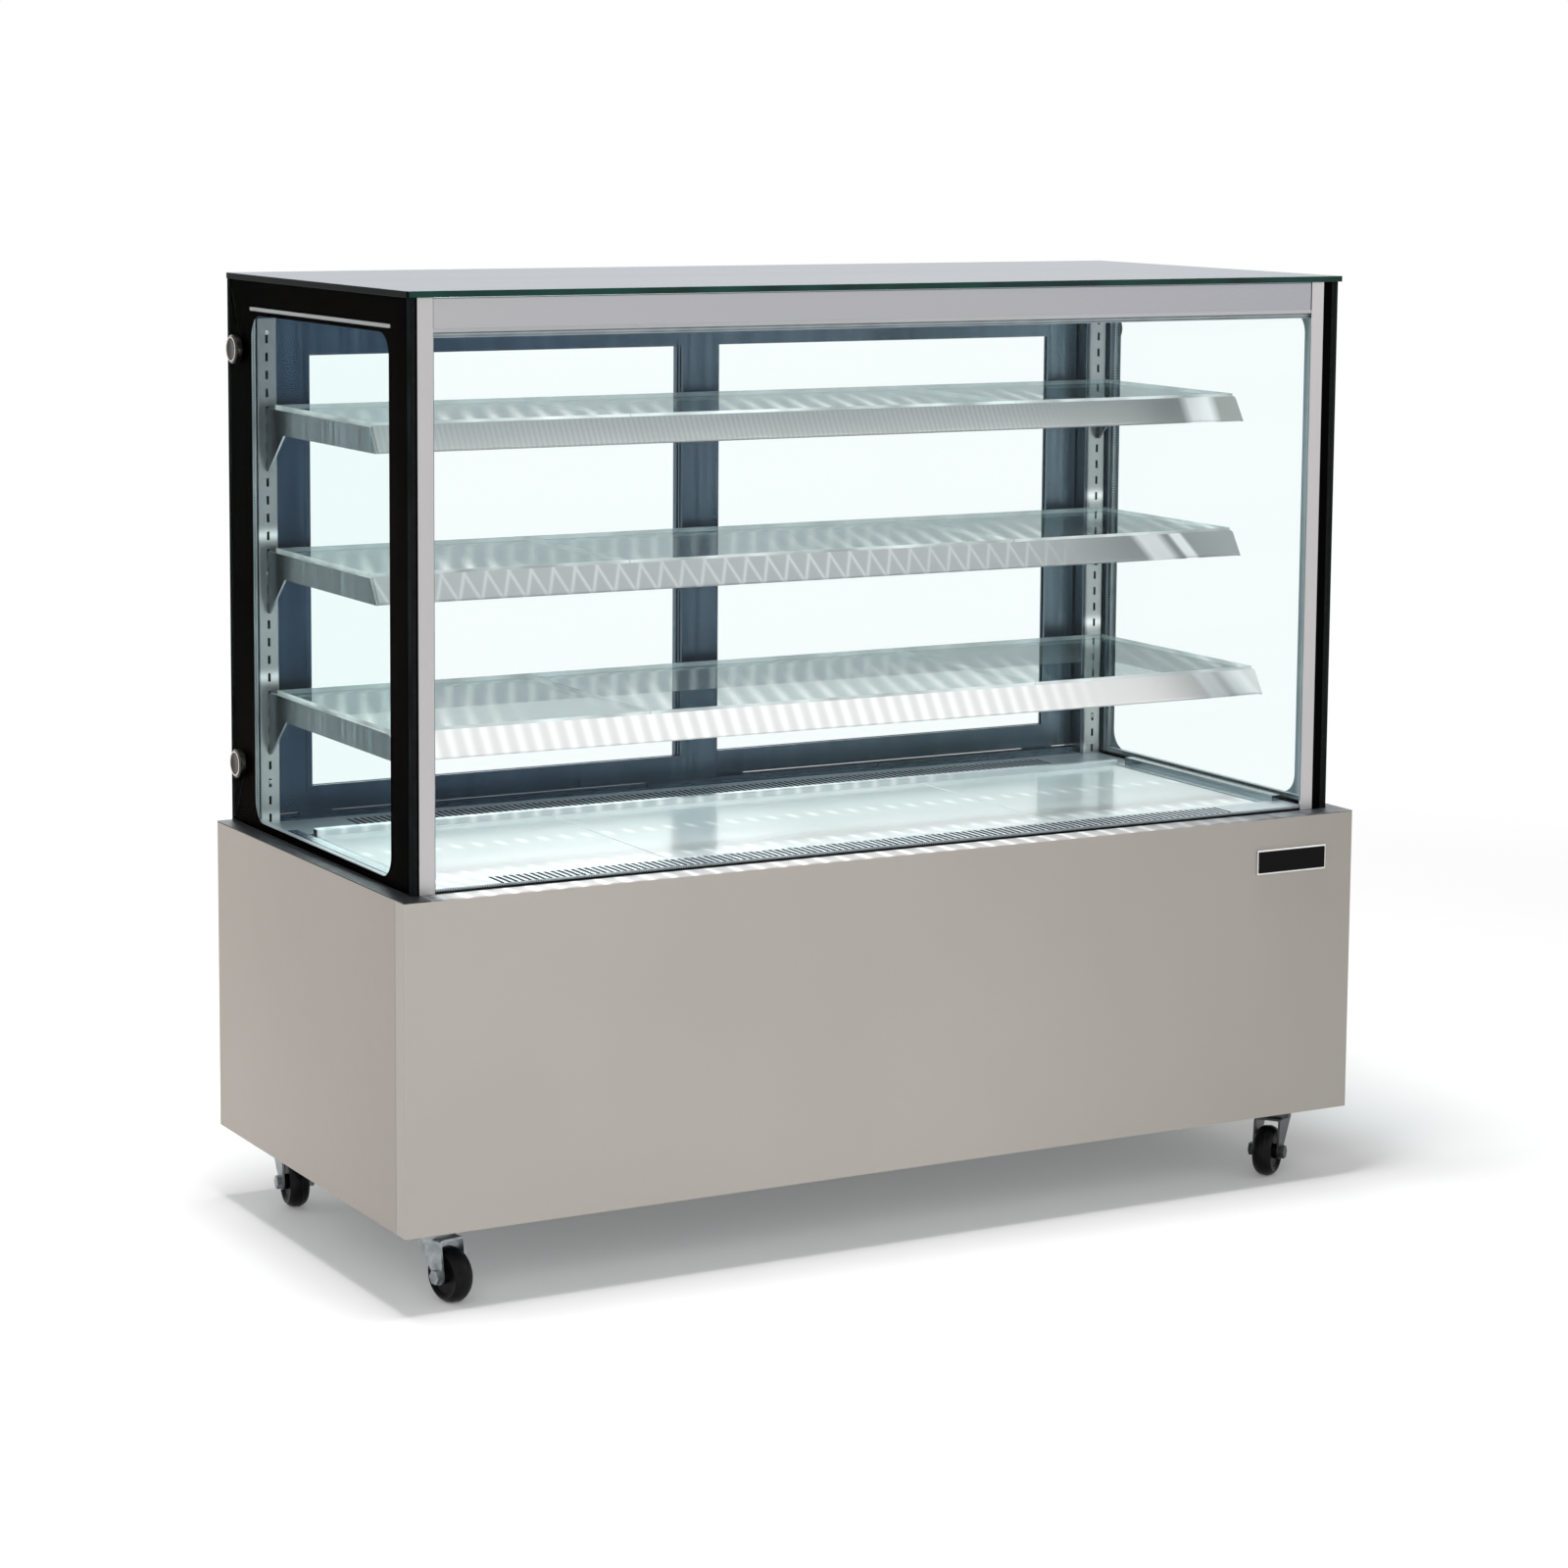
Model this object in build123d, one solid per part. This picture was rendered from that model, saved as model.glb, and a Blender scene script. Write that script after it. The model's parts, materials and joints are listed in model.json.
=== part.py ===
from build123d import *
import os

# Refrigerated bakery display case on swivel casters. Millimetres, +Z up,
# customers stand on the -Y side, the sliding service doors are on the +Y side.

# ---- overall size -------------------------------------------------------
CASE_WIDTH = 1500.0
CASE_DEPTH = 660.0
CASE_HEIGHT = 1320.0
CASTER_HEIGHT = 105.0
BASE_TOP = 545.0

# ---- base cabinet ---------------------------------------------------------
SHEET = 1.5
BEND_R = 2.5
FLOOR_T = 2.0
FLOOR_FLANGE = 20.0
FLOOR_CORNER_R = 4.0
FRONT_WRAP = 28.0
PANEL_GAP = 0.8
REAR_RETURN = 15.0
WELL_INSET = 6.0
WELL_BOTTOM = 335.0
WELL_FLOOR_T = 40.0
WELL_WALL_SIDE = 54.0
WELL_WALL_FRONT = 32.0
WELL_WALL_REAR = 48.0
WELL_CORNER_R = 15.0
UPRIGHT = 40.0
UPRIGHT_T = 3.0
UPRIGHT_GAP = 1.5
DRAIN_R = 9.0
DRAIN_X = -520.0
DRAIN_Y = 150.0
RIM_SIDE = 44.0
RIM_FRONT = 40.0

# ---- glass house ------------------------------------------------------------
GLASS_SETBACK = 23.0
FRONT_SETBACK = 35.0
PANE = 5.0
ARRIS = 0.6
AIR_GAP = 8.0
ENAMEL_T = 0.3
GASKET_T = 2.0
GASKET_D = 12.0
TOP_GLASS_T = 8.0
TOP_GLASS_OVER_SIDE = 3.0
TOP_GLASS_OVER_FRONT = 8.0
TOP_GLASS_R = 4.0
TUBE_R = 2.0
FRONT_POST_W = 21.0
FRONT_POST_D = 24.0
FRONT_POST_INSET = 11.0
HEADER_H = 45.0
HEADER_FLANGE = 44.0
SIDE_RAIL_H = 34.0
SPACER_W = 7.0
FRONT_SPACER_SILL = 2.0
SPACER_INSET = 6.0
SPACER_LOW = 2.0
SPACER_HIGH = 8.0
SPACER_REAR = 16.0
WINDOW_FRONT = 70.0
WINDOW_REAR = 78.0
WINDOW_BOTTOM = 8.0
WINDOW_TOP = 48.0
WINDOW_R = 30.0
TRIM_LINE_H = 5.0
TRIM_LINE_RISE = 6.0
TRIM_LINE_OVER = 5.0
KNOB_R = 20.0
KNOB_CAP = 7.0
KNOB_EDGE = 2.0
KNOB_RECESS = 1.0
KNOB_RECESS_R = 15.0
KNOB_WASHER = 4.0
KNOB_WASHER_R = 18.0
KNOB_BOLT_R = 4.0
KNOB_NUT_R = 7.5
KNOB_NUT_T = 3.0
KNOB_INSET = 10.0
KNOB_FROM_BASE = 87.0
KNOB_FROM_TOP = 97.0
RUN_CLEAR = 0.05

# ---- rear frame and sliding doors ------------------------------------------
REAR_EDGE = 2.0
REAR_POST_W = 44.2
REAR_POST_D = 48.0
STANDARD_W = 30.0
STANDARD_D = 10.0
STANDARD_DROP = 54.0
SLOT_W = 4.0
SLOT_H = 12.0
SLOT_PITCH = 25.0
SLOT_FIRST = 3.0
TRACK_SETBACK = 4.0
TRACK_D = 38.0
TRACK_T = 3.0
RIB_W = 3.0
RIB_H = 6.0
TOP_RAIL_H = 50.0
GROOVE_W = 14.0
GROOVE_H = 28.0
DOOR_T = 12.0
DOOR_INSET = 4.0
DOOR_PITCH = 18.0
DOOR_CENTRE = 31.0
DOOR_STILE = 53.5
DOOR_RAIL_LOW = 36.0
DOOR_RAIL_HIGH = 71.0
DOOR_SIDE_GAP = 2.0
DOOR_LIFT = 11.0
DOOR_TOP_ENGAGE = 13.0
DOOR_EDGE_R = 1.5
DOOR_PANE_LAP = 8.0
DOOR_PANE_GAP = 1.0
BEAD_W = 8.0
BEAD_T = 1.0
PULL_W = 14.0
PULL_DEPTH = 6.0
PULL_LOW = 204.0
PULL_LENGTH = 300.0
SHOE_L = 50.0
SHOE_W = 10.0
SHOE_INSET = 60.0
SHOE_GAP = 0.4

# ---- deck ---------------------------------------------------------------------
SIDE_TRIM_W = 38.0
SIDE_TRIM_STEP = 16.0
DECK_T = 8.0
DECK_SINK = 0.5
DECK_EDGE_R = 1.0
DECK_END_PANEL = 357.0
SEAM_GAP = 1.5
FRONT_GRILLE_D = 77.0
REAR_GRILLE_D = 124.0
LEDGE = 20.0
LIP_H = 8.0
LIP_D = 13.0
GRILLE_SLOT_W = 5.0
GRILLE_PITCH = 10.0
SLOT_ROW_END = 126.0
FRONT_SLOT_L = 56.0
FRONT_SLOT_EDGE = 7.0
REAR_SLOT_L = 78.0
REAR_SLOT_EDGE = 9.0
DECK_CLEAR = 1.0

# ---- shelves -------------------------------------------------------------------
SHELF_LEVELS = 3
SHELF_TOP_GAP = 5
HOOK_DROP = 10.0
HOOK_NECK = 8.0
HOOK_TIP = 5.0
HOOK_REACH = 5.0
SHELF_GLASS_T = 6.0
SHELF_DEPTH = 341.0
SHELF_DEPTH_DEEP = 404.0
SHELF_REAR_GAP = 24.0
SHELF_END_PANE = 380.0
SHELF_CLEAR = 1.0
NOSE_H = 36.0
NOSE_LEAN = 23.0
NOSE_LIP = 2.0
NOSE_FOOT = 7.5
NOSE_SEAT = 22.0
REAR_SEAT = 20.0
REAR_LIP = 6.0
BRACKET_T = 3.0
BRACKET_TIP = 88.0
BRACKET_TIP_W = 5.0
BRACKET_GUSSET = 64.0
LED_W = 14.0
LED_H = 8.0
LED_CROWN = 1.0
LED_INSET = 5.0
LED_END = 30.0

# ---- refrigeration ---------------------------------------------------------------
FAN_R = 78.0
FAN_X = 230.0
FAN_Z = 212.0
FAN_TIP_GAP = 3.0
BLADES = 5
BLADE_T = 1.6
BLADE_PITCH = 26.0
BLADE_CHORD = 0.6
HUB_SHARE = 0.3
HUB_H = 18.0
HUB_Z = 16.0
SHAFT_R = 3.0
SHAFT_END = 45.0
MOTOR_R = 20.0
MOTOR_Z0 = 32.0
MOTOR_Z1 = 64.0
ARM_W = 8.0
ARM_T = 4.0
COIL_HALF = 160.0
COIL_DEPTH = 50.0
COIL_SETBACK = 18.0
COIL_FINS = 26
FIN_GAP = 8.0
FIN_DEPTH = 12.0
FIN_EDGE = 8.0
COIL_TUBES = 3
COIL_TUBE_PITCH = 56.0
COIL_TUBE_FIRST = 40.0
COIL_TUBE_R = 5.0
BEND_SPAN = 28.0
SHROUD_D = 26.0
COMPRESSOR_X = -230.0
COMPRESSOR_Y = 40.0
SHELL_R = 74.0
SHELL_LOW = 122.0
SHELL_H = 130.0
SHELL_SHOULDER = 18.0
SEAM_R = 3.0
FOOT_L = 200.0
FOOT_W = 120.0
FOOT_T = 4.0
FOOT_PAD_R = 11.0
FOOT_PAD_INSET = 14.0
TERMINAL_W = 52.0
TERMINAL_H = 60.0
TERMINAL_REACH = 104.0
TERMINAL_R = 4.0
EVAP_HALF = 420.0
EVAP_FRONT = -40.0
EVAP_DEPTH = 130.0
EVAP_H = 120.0
EVAP_FINS = 28
EVAP_FIN_GAP = 18.0
EVAP_FIN_DEPTH = 20.0
EVAP_TUBES = 2
EVAP_TUBE_PITCH = 56.0
EVAP_TUBE_FIRST = 18.0
EVAP_FAN_R = 56.0
EVAP_FAN_RISE = 77.0
EVAP_PLATE_Y = -130.0
EVAP_PLATE_OVER = 20.0
EVAP_PLATE_H = 150.0
EVAP_PLATE_FOOT = 16.0
LOUVRE_W = 540.0
LOUVRE_LOW = 145.0
LOUVRE_H = 165.0
LOUVRE_FRAME = 12.0
LOUVRE_BAR = 8.0
LOUVRE_BAYS = 3
LOUVRES = 11
LOUVRE_T = 1.2
LOUVRE_CHORD = 11.0
LOUVRE_TILT = 38.0
LOUVRE_FRAME_T = 2.0
LOUVRE_DEPTH = 8.0
LOUVRE_SETBACK = 3.0
LINE_R = 4.0
PIPE_FLATS = 8
LINE_BEND = 12.0
LINE_X = -40.0
LINE_Y = 120.0
LINE_PITCH = 30.0
LINE_LOW = 180.0
LINE_MID = 230.0
LINE_HIGH = 260.0
LINE_DISCHARGE_IN = 13.0
LINE_LIQUID_IN = 38.0
LINE_DISCHARGE_TURN = 120.0
LINE_RISE = 30.0
TRAY_X = 180.0
TRAY_Y = 200.0
TRAY_H = 36.0
TRAY_WALL = 2.0
TRAY_R = 12.0
TRAY_TAPER = 6.0
TRAY_SHIFT = -10.0

# ---- controls -----------------------------------------------------------------------
PANEL_X = -500.0
PANEL_Z = 240.0
PANEL_HALF_W = 115.0
PANEL_HALF_H = 45.0
PANEL_R = 5.0
PANEL_FLANGE = 9.0
PANEL_SINK = 0.4
PANEL_BOX_D = 46.0
PANEL_BOX_INSET = 6.0
DISPLAY_W = 70.0
DISPLAY_H = 35.0
DISPLAY_X = -90.0
DISPLAY_Z = -5.0
DISPLAY_SINK = 1.5
KEYS = 4
KEY_W = 12.0
KEY_PITCH = 19.0
KEY_Z = -24.0
KEY_RISE = 0.3
ROCKER_W = 15.0
ROCKER_H = 24.0
ROCKER_TILT = 8.0
ROCKER_DEPTH = 20.0
ROCKER_PITCH = 28.0
ROCKER_FACE = 5.0
ROCKER_DISH = 2.5
ROCKER_BACK = 4.0
ROCKER_SIDE_GAP = 0.6
ROCKER_END_GAP = 1.0
PIVOT_INSET = 8.0
PIVOT_R = 1.5
GLAND_INSET = 100.0
GLAND_Z = 160.0
GLAND_R = 8.0
GLAND_WALL = 6.0
GLAND_L = 12.0

# ---- casters ------------------------------------------------------------------------
WHEEL_R = 37.5
WHEEL_W = 28.0
TREAD_CROWN = 5.5
TREAD_FLAT = 4.0
TREAD_TURN = 10.0
TREAD_FALL = 2.0
RIM_R = 29.5
WEB_T = 20.0
HUB_R = 11.0
HUB_GAP = 0.4
AXLE_R = 6.0
AXLE_NUT_R = 10.0
AXLE_NUT_T = 7.0
AXLE_END = 3.0
CASTER_INSET_X = 76.0
CASTER_INSET_Y = 72.0
CASTER_TRAIL = 30.0
CASTER_PLATE_L = 90.0
CASTER_PLATE_W = 70.0
CASTER_PLATE_T = 3.0
CASTER_PLATE_R = 8.0
FORK_T = 3.0
FORK_BEND_R = 5.0
FORK_HALF = 17.0
FORK_TOP = 86.0
FORK_END_R = 11.0
FORK_REAR = 20.0
FORK_FRONT = 34.0
RACE_R = 25.0
RACE_H = 5.7
RACE_CHAMFER = 2.0
CUP_R = 22.0
CUP_GAP = 0.3
KINGPIN_R = 5.0
KINGPIN_END = 1.0
FRONT_LEFT_TURN = 12.0
FRONT_RIGHT_TURN = -53.0
REAR_LEFT_TURN = -7.0
REAR_RIGHT_TURN = 0.0

# ---- positions that follow from the sizes above ----------------------------------------
HALF_W = CASE_WIDTH / 2
HALF_D = CASE_DEPTH / 2
RIM_LOW = BASE_TOP - SHEET
FLOOR_TOP = CASTER_HEIGHT + FLOOR_T
WELL_FLOOR = WELL_BOTTOM + WELL_FLOOR_T
WELL_X = HALF_W - WELL_INSET
WELL_FRONT = -HALF_D + WELL_INSET
WELL_REAR = HALF_D - WELL_INSET

GLASS_X = HALF_W - GLASS_SETBACK
ENAMEL_X = GLASS_X - PANE
SPACER_X = ENAMEL_X - ENAMEL_T
INNER_PANE_X = GLASS_X - PANE - AIR_GAP
FRAME_FRONT = -HALF_D + FRONT_SETBACK
FRONT_PANES_BACK = FRAME_FRONT + 2 * PANE + AIR_GAP
POST_BACK = FRAME_FRONT + FRONT_POST_D
POST_OUT = GLASS_X - FRONT_POST_INSET
POST_IN = POST_OUT - FRONT_POST_W
HOUSE_TOP = CASE_HEIGHT - TOP_GLASS_T
GLASS_LOW = BASE_TOP + GASKET_T
HEADER_LOW = HOUSE_TOP - HEADER_H
KNOB_Z = (BASE_TOP + KNOB_FROM_BASE, HOUSE_TOP - KNOB_FROM_TOP)

FRAME_REAR = HALF_D - REAR_EDGE
REAR_POST_Y = FRAME_REAR - REAR_POST_D
REAR_POST_IN = SPACER_X - REAR_POST_W
KNOB_Y = REAR_POST_Y + KNOB_INSET
STANDARD_X = REAR_POST_IN + STANDARD_W / 2
STANDARD_Y = REAR_POST_Y - STANDARD_D
STANDARD_TOP = HOUSE_TOP - STANDARD_DROP
SLOT_LOW = BASE_TOP + SLOT_FIRST
SLOT_COUNT = int((STANDARD_TOP - SLOT_LOW - SLOT_H) / SLOT_PITCH) + 1
TRACK_Y = REAR_POST_Y + TRACK_SETBACK
RAIL_LOW = HOUSE_TOP - TOP_RAIL_H
DOOR_Y = (TRACK_Y + DOOR_INSET, TRACK_Y + DOOR_INSET + DOOR_PITCH)
DOOR_END = REAR_POST_IN - DOOR_SIDE_GAP
DOOR_LOW = BASE_TOP + DOOR_LIFT
DOOR_HIGH = RAIL_LOW + DOOR_TOP_ENGAGE
WINDOW_END = DOOR_END - DOOR_STILE
WINDOW_LOW = DOOR_LOW + DOOR_RAIL_LOW
WINDOW_HIGH = DOOR_HIGH - DOOR_RAIL_HIGH

GRILLE_HALF = HALF_W - RIM_SIDE
GRILLE_FRONT = -HALF_D + RIM_FRONT
GRILLE_SLOTS = 2 * int((GRILLE_HALF - SLOT_ROW_END) / GRILLE_PITCH) + 1
DECK_HALF = GRILLE_HALF - SIDE_TRIM_W
DECK_FRONT = GRILLE_FRONT + FRONT_GRILLE_D
DECK_REAR = TRACK_Y - REAR_GRILLE_D
DECK_TOP = BASE_TOP - DECK_SINK
DECK_LOW = DECK_TOP - DECK_T
DECK_END = DECK_HALF - DECK_CLEAR
DECK_SEAM = DECK_END - DECK_END_PANEL

SHELF_STEP = (SLOT_COUNT - SHELF_TOP_GAP + 1) // SHELF_LEVELS
SHELF_REAR = STANDARD_Y - SHELF_REAR_GAP
BRACKET_IN = STANDARD_X - BRACKET_T / 2
SHELF_END = BRACKET_IN - SHELF_CLEAR
SHELF_SEAM = SHELF_END - SHELF_END_PANE
NOSE_DROP = NOSE_H - NOSE_LIP
NOSE_RUN = NOSE_LEAN * NOSE_DROP / NOSE_H

COIL_REAR = HALF_D - COIL_SETBACK
COIL_FRONT = COIL_REAR - COIL_DEPTH
COIL_TOP = LOUVRE_LOW + LOUVRE_H
COIL_LEFT = FAN_X - COIL_HALF
EVAP_FAN_Z = WELL_FLOOR + EVAP_FAN_RISE
LINE_HOLES = (LINE_X, LINE_X - LINE_PITCH)
PANEL_FACE = HALF_D - PANEL_SINK
SWITCH_X = PANEL_X + PANEL_HALF_W - ROCKER_PITCH
GLAND_X = HALF_W - GLAND_INSET
CASTER_X = HALF_W - CASTER_INSET_X
CASTER_Y = HALF_D - CASTER_INSET_Y
FORK_OUT = FORK_HALF + FORK_T

# name, place along X, place along Y, turn about the kingpin
CASTERS = (
    ("front_left", -CASTER_X, -CASTER_Y, FRONT_LEFT_TURN),
    ("front_right", CASTER_X, -CASTER_Y, FRONT_RIGHT_TURN),
    ("rear_left", -CASTER_X, CASTER_Y, REAR_LEFT_TURN),
    ("rear_right", CASTER_X, CASTER_Y, REAR_RIGHT_TURN),
)


# ---- drawing helpers ---------------------------------------------------------------------

def area(x0, x1, y0, y1, radius=0.0):
    """Flat rectangle between two corners, with rounded corners if asked."""
    width = x1 - x0
    depth = y1 - y0
    shape = RectangleRounded(width, depth, radius) if radius else Rectangle(width, depth)
    return Pos((x0 + x1) / 2, (y0 + y1) / 2) * shape


def disc(radius, x, y):
    """Flat disc about a point."""
    return Pos(x, y) * Circle(radius)


def outline(*points):
    """Flat face inside a closed outline."""
    return Polygon(*points, align=None)


def folded(points, side, sheet=SHEET, bend=BEND_R):
    """Cross-section of a folded sheet whose outer face follows the points."""
    face = FilletPolyline(*points, radius=bend)
    return make_face(offset(face, amount=sheet, side=side))


def tube_section(x0, x1, y0, y1, wall=SHEET, radius=TUBE_R):
    """Cross-section of a rectangular tube with rounded corners."""
    bore = area(x0 + wall, x1 - wall, y0 + wall, y1 - wall, radius - wall)
    return area(x0, x1, y0, y1, radius) - bore


def along_x(section, x0, x1):
    """Prism of a (y, z) section from x0 to x1."""
    return extrude(Plane.YZ.offset(x0) * section, amount=x1 - x0, dir=(1, 0, 0))


def along_y(section, y0, y1):
    """Prism of an (x, z) section from y0 to y1."""
    return extrude(Plane.XZ.offset(-y0) * section, amount=y1 - y0, dir=(0, 1, 0))


def along_z(section, z0, z1):
    """Prism of an (x, y) section from z0 to z1."""
    return extrude(Plane.XY.offset(z0) * section, amount=z1 - z0, dir=(0, 0, 1))


def turned_x(half_section):
    """Solid of revolution about X from an (x, radius) half section."""
    return revolve(half_section, axis=Axis.X)


def both_sides(shape):
    """The shape and its twin on the other side of the case."""
    return [shape, mirror(shape, about=Plane.YZ)]


def on_side(shape, sign):
    """The shape on the right for a positive sign, or its twin on the left."""
    return shape if sign > 0 else mirror(shape, about=Plane.YZ)


def save(name, shape):
    """Write one sub-part, which may hold several separate solids."""
    items = shape if isinstance(shape, (list, tuple)) else [shape]
    solids = [solid for item in items for solid in item.solids()]
    model = Compound(children=solids) if len(solids) > 1 else solids[0]
    export_step(model, "parts/" + name + ".step")


# ---- base cabinet ---------------------------------------------------------------------

def floor_pan():
    """Pressed floor with an upturned flange all round."""
    x = HALF_W - SHEET
    y = HALF_D - SHEET
    t = FLOOR_T
    pan = along_z(area(-x, x, -y, y, FLOOR_CORNER_R), CASTER_HEIGHT, FLOOR_TOP + FLOOR_FLANGE)
    inside = area(-x + t, x - t, -y + t, y - t, FLOOR_CORNER_R - t)
    return pan - along_z(inside, FLOOR_TOP, FLOOR_TOP + FLOOR_FLANGE)


def base_uprights():
    """Four folded angle uprights that carry the insulated well."""
    x1 = WELL_X
    x0 = x1 - UPRIGHT
    y0 = WELL_FRONT + UPRIGHT_GAP
    section = folded(
        ((x0, y0), (x1, y0), (x1, y0 + UPRIGHT)), Side.LEFT, sheet=UPRIGHT_T, bend=UPRIGHT_T + 1
    )
    front = along_z(section, FLOOR_TOP, WELL_BOTTOM)
    rear = mirror(front, about=Plane.XZ)
    return both_sides(front) + both_sides(rear)


def front_panel():
    """Painted front skin folded round both corners."""
    back = -HALF_D + FRONT_WRAP
    line = ((-HALF_W, back), (-HALF_W, -HALF_D), (HALF_W, -HALF_D), (HALF_W, back))
    return along_z(folded(line, Side.LEFT), CASTER_HEIGHT, RIM_LOW)


def side_panel(sign):
    """Painted side skin folded round the rear corner."""
    front = -HALF_D + FRONT_WRAP + PANEL_GAP
    line = ((HALF_W, front), (HALF_W, HALF_D), (HALF_W - REAR_RETURN, HALF_D))
    return on_side(along_z(folded(line, Side.LEFT), CASTER_HEIGHT, RIM_LOW), sign)


def rear_panel():
    """Removable rear skin, cut out for the louvres and the controls, with the cord gland."""
    x = HALF_W - REAR_RETURN - PANEL_GAP
    back = HALF_D - SHEET
    skin = area(-x, x, CASTER_HEIGHT, RIM_LOW)
    skin -= area(FAN_X - LOUVRE_W / 2, FAN_X + LOUVRE_W / 2, LOUVRE_LOW, COIL_TOP)
    w = PANEL_HALF_W + 1
    h = PANEL_HALF_H + 1
    skin -= area(PANEL_X - w, PANEL_X + w, PANEL_Z - h, PANEL_Z + h, PANEL_R)
    gland = disc(GLAND_R + GLAND_WALL, GLAND_X, GLAND_Z)
    panel = along_y(skin, back, HALF_D) + along_y(gland, HALF_D - GLAND_L, HALF_D)
    return panel - along_y(disc(GLAND_R, GLAND_X, GLAND_Z), HALF_D - GLAND_L, HALF_D)


def condenser_grille():
    """Louvred insert behind the opening in the rear skin."""
    y1 = HALF_D - SHEET
    y0 = y1 - LOUVRE_FRAME_T
    x0 = FAN_X - LOUVRE_W / 2
    x1 = FAN_X + LOUVRE_W / 2
    rim = LOUVRE_FRAME
    section = area(x0 - rim, x1 + rim, LOUVRE_LOW - rim, COIL_TOP + rim)
    bay = (LOUVRE_W - (LOUVRE_BAYS - 1) * LOUVRE_BAR) / LOUVRE_BAYS
    for i in range(LOUVRE_BAYS):
        left = x0 + i * (bay + LOUVRE_BAR)
        section -= area(left, left + bay, LOUVRE_LOW, COIL_TOP)
    grille = along_y(section, y0, y1)
    cheeks = area(x0 - rim / 2, x1 + rim / 2, LOUVRE_LOW, COIL_TOP)
    cheeks -= area(x0, x1, LOUVRE_LOW, COIL_TOP)
    grille += along_y(cheeks, y0 - LOUVRE_DEPTH, y0)
    pitch = LOUVRE_H / LOUVRES
    slat = Rot(0, 0, LOUVRE_TILT) * Rectangle(LOUVRE_CHORD, LOUVRE_T)
    for i in range(LOUVRES):
        z = LOUVRE_LOW + (i + 0.5) * pitch
        grille += along_x(Pos(y0 - LOUVRE_SETBACK, z) * slat, x0 - 1, x1 + 1)
    return grille


def insulated_well():
    """Foam-filled tub under the deck, drilled for the drain and the two lines."""
    x = WELL_X - WELL_WALL_SIDE
    y0 = WELL_FRONT + WELL_WALL_FRONT
    y1 = WELL_REAR - WELL_WALL_REAR
    tub = along_z(area(-WELL_X, WELL_X, WELL_FRONT, WELL_REAR), WELL_BOTTOM, RIM_LOW)
    tub -= along_z(area(-x, x, y0, y1, WELL_CORNER_R), WELL_FLOOR, RIM_LOW)
    holes = disc(DRAIN_R, DRAIN_X, DRAIN_Y)
    for line_x in LINE_HOLES:
        holes += disc(LINE_R + RUN_CLEAR, line_x, LINE_Y)
    return tub - along_z(holes, WELL_BOTTOM, WELL_FLOOR)


def top_rim():
    """Polished ledge that caps the base all round the glass house."""
    rim = area(-HALF_W, HALF_W, -HALF_D, HALF_D, BEND_R)
    rim -= area(-GRILLE_HALF, GRILLE_HALF, GRILLE_FRONT, TRACK_Y)
    return along_z(rim, RIM_LOW, BASE_TOP)


# ---- deck -------------------------------------------------------------------------------

def slot_row(y0, y1):
    """Row of air slots across the case, each running front to back."""
    first = -(GRILLE_SLOTS - 1) * GRILLE_PITCH / 2
    slot = Rectangle(GRILLE_SLOT_W, y1 - y0)
    return [Pos(first + i * GRILLE_PITCH, (y0 + y1) / 2) * slot for i in range(GRILLE_SLOTS)]


def front_air_grille():
    """Slotted air outlet behind the front glass, folded down into a ledge for the deck."""
    back = DECK_FRONT
    plate = area(-GRILLE_HALF, GRILLE_HALF, GRILLE_FRONT, back)
    plate -= slot_row(back - FRONT_SLOT_EDGE - FRONT_SLOT_L, back - FRONT_SLOT_EDGE)
    low = DECK_LOW - SHEET
    ledge = outline(
        (back - SHEET, RIM_LOW),
        (back, RIM_LOW),
        (back, DECK_LOW),
        (back + LEDGE, DECK_LOW),
        (back + LEDGE, low),
        (back - SHEET, low),
    )
    return along_z(plate, RIM_LOW, BASE_TOP) + along_x(ledge, -DECK_END, DECK_END)


def rear_air_grille():
    """Slotted air intake before the doors, folded up into a lip and down into a ledge."""
    start = DECK_REAR + LIP_D
    plate = area(-GRILLE_HALF, GRILLE_HALF, start, TRACK_Y)
    plate -= slot_row(start + REAR_SLOT_EDGE, start + REAR_SLOT_EDGE + REAR_SLOT_L)
    low = DECK_LOW - SHEET
    top = BASE_TOP + LIP_H
    lip = outline(
        (start + SHEET, RIM_LOW),
        (start + SHEET, top - SHEET),
        (start, top),
        (DECK_REAR + SHEET, top),
        (DECK_REAR, top - SHEET),
        (DECK_REAR, DECK_LOW),
        (DECK_REAR - LEDGE, DECK_LOW),
        (DECK_REAR - LEDGE, low),
        (DECK_REAR + SHEET, low),
        (DECK_REAR + SHEET, top - SHEET),
        (start, top - SHEET),
        (start, RIM_LOW),
    )
    return along_z(plate, RIM_LOW, BASE_TOP) + along_x(lip, -DECK_END, DECK_END)


def deck_panels():
    """White deck in three lengths with softened edges, resting on the two grille ledges."""
    y0 = DECK_FRONT + DECK_SINK
    y1 = DECK_REAR - DECK_SINK
    panels = []
    for x0, x1 in ((-DECK_END, -DECK_SEAM), (-DECK_SEAM, DECK_SEAM), (DECK_SEAM, DECK_END)):
        board = along_z(area(x0 + SEAM_GAP / 2, x1 - SEAM_GAP / 2, y0, y1), DECK_LOW, DECK_TOP)
        panels.append(fillet(board.faces().sort_by(Axis.Z)[-1].edges(), DECK_EDGE_R))
    return panels


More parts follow.
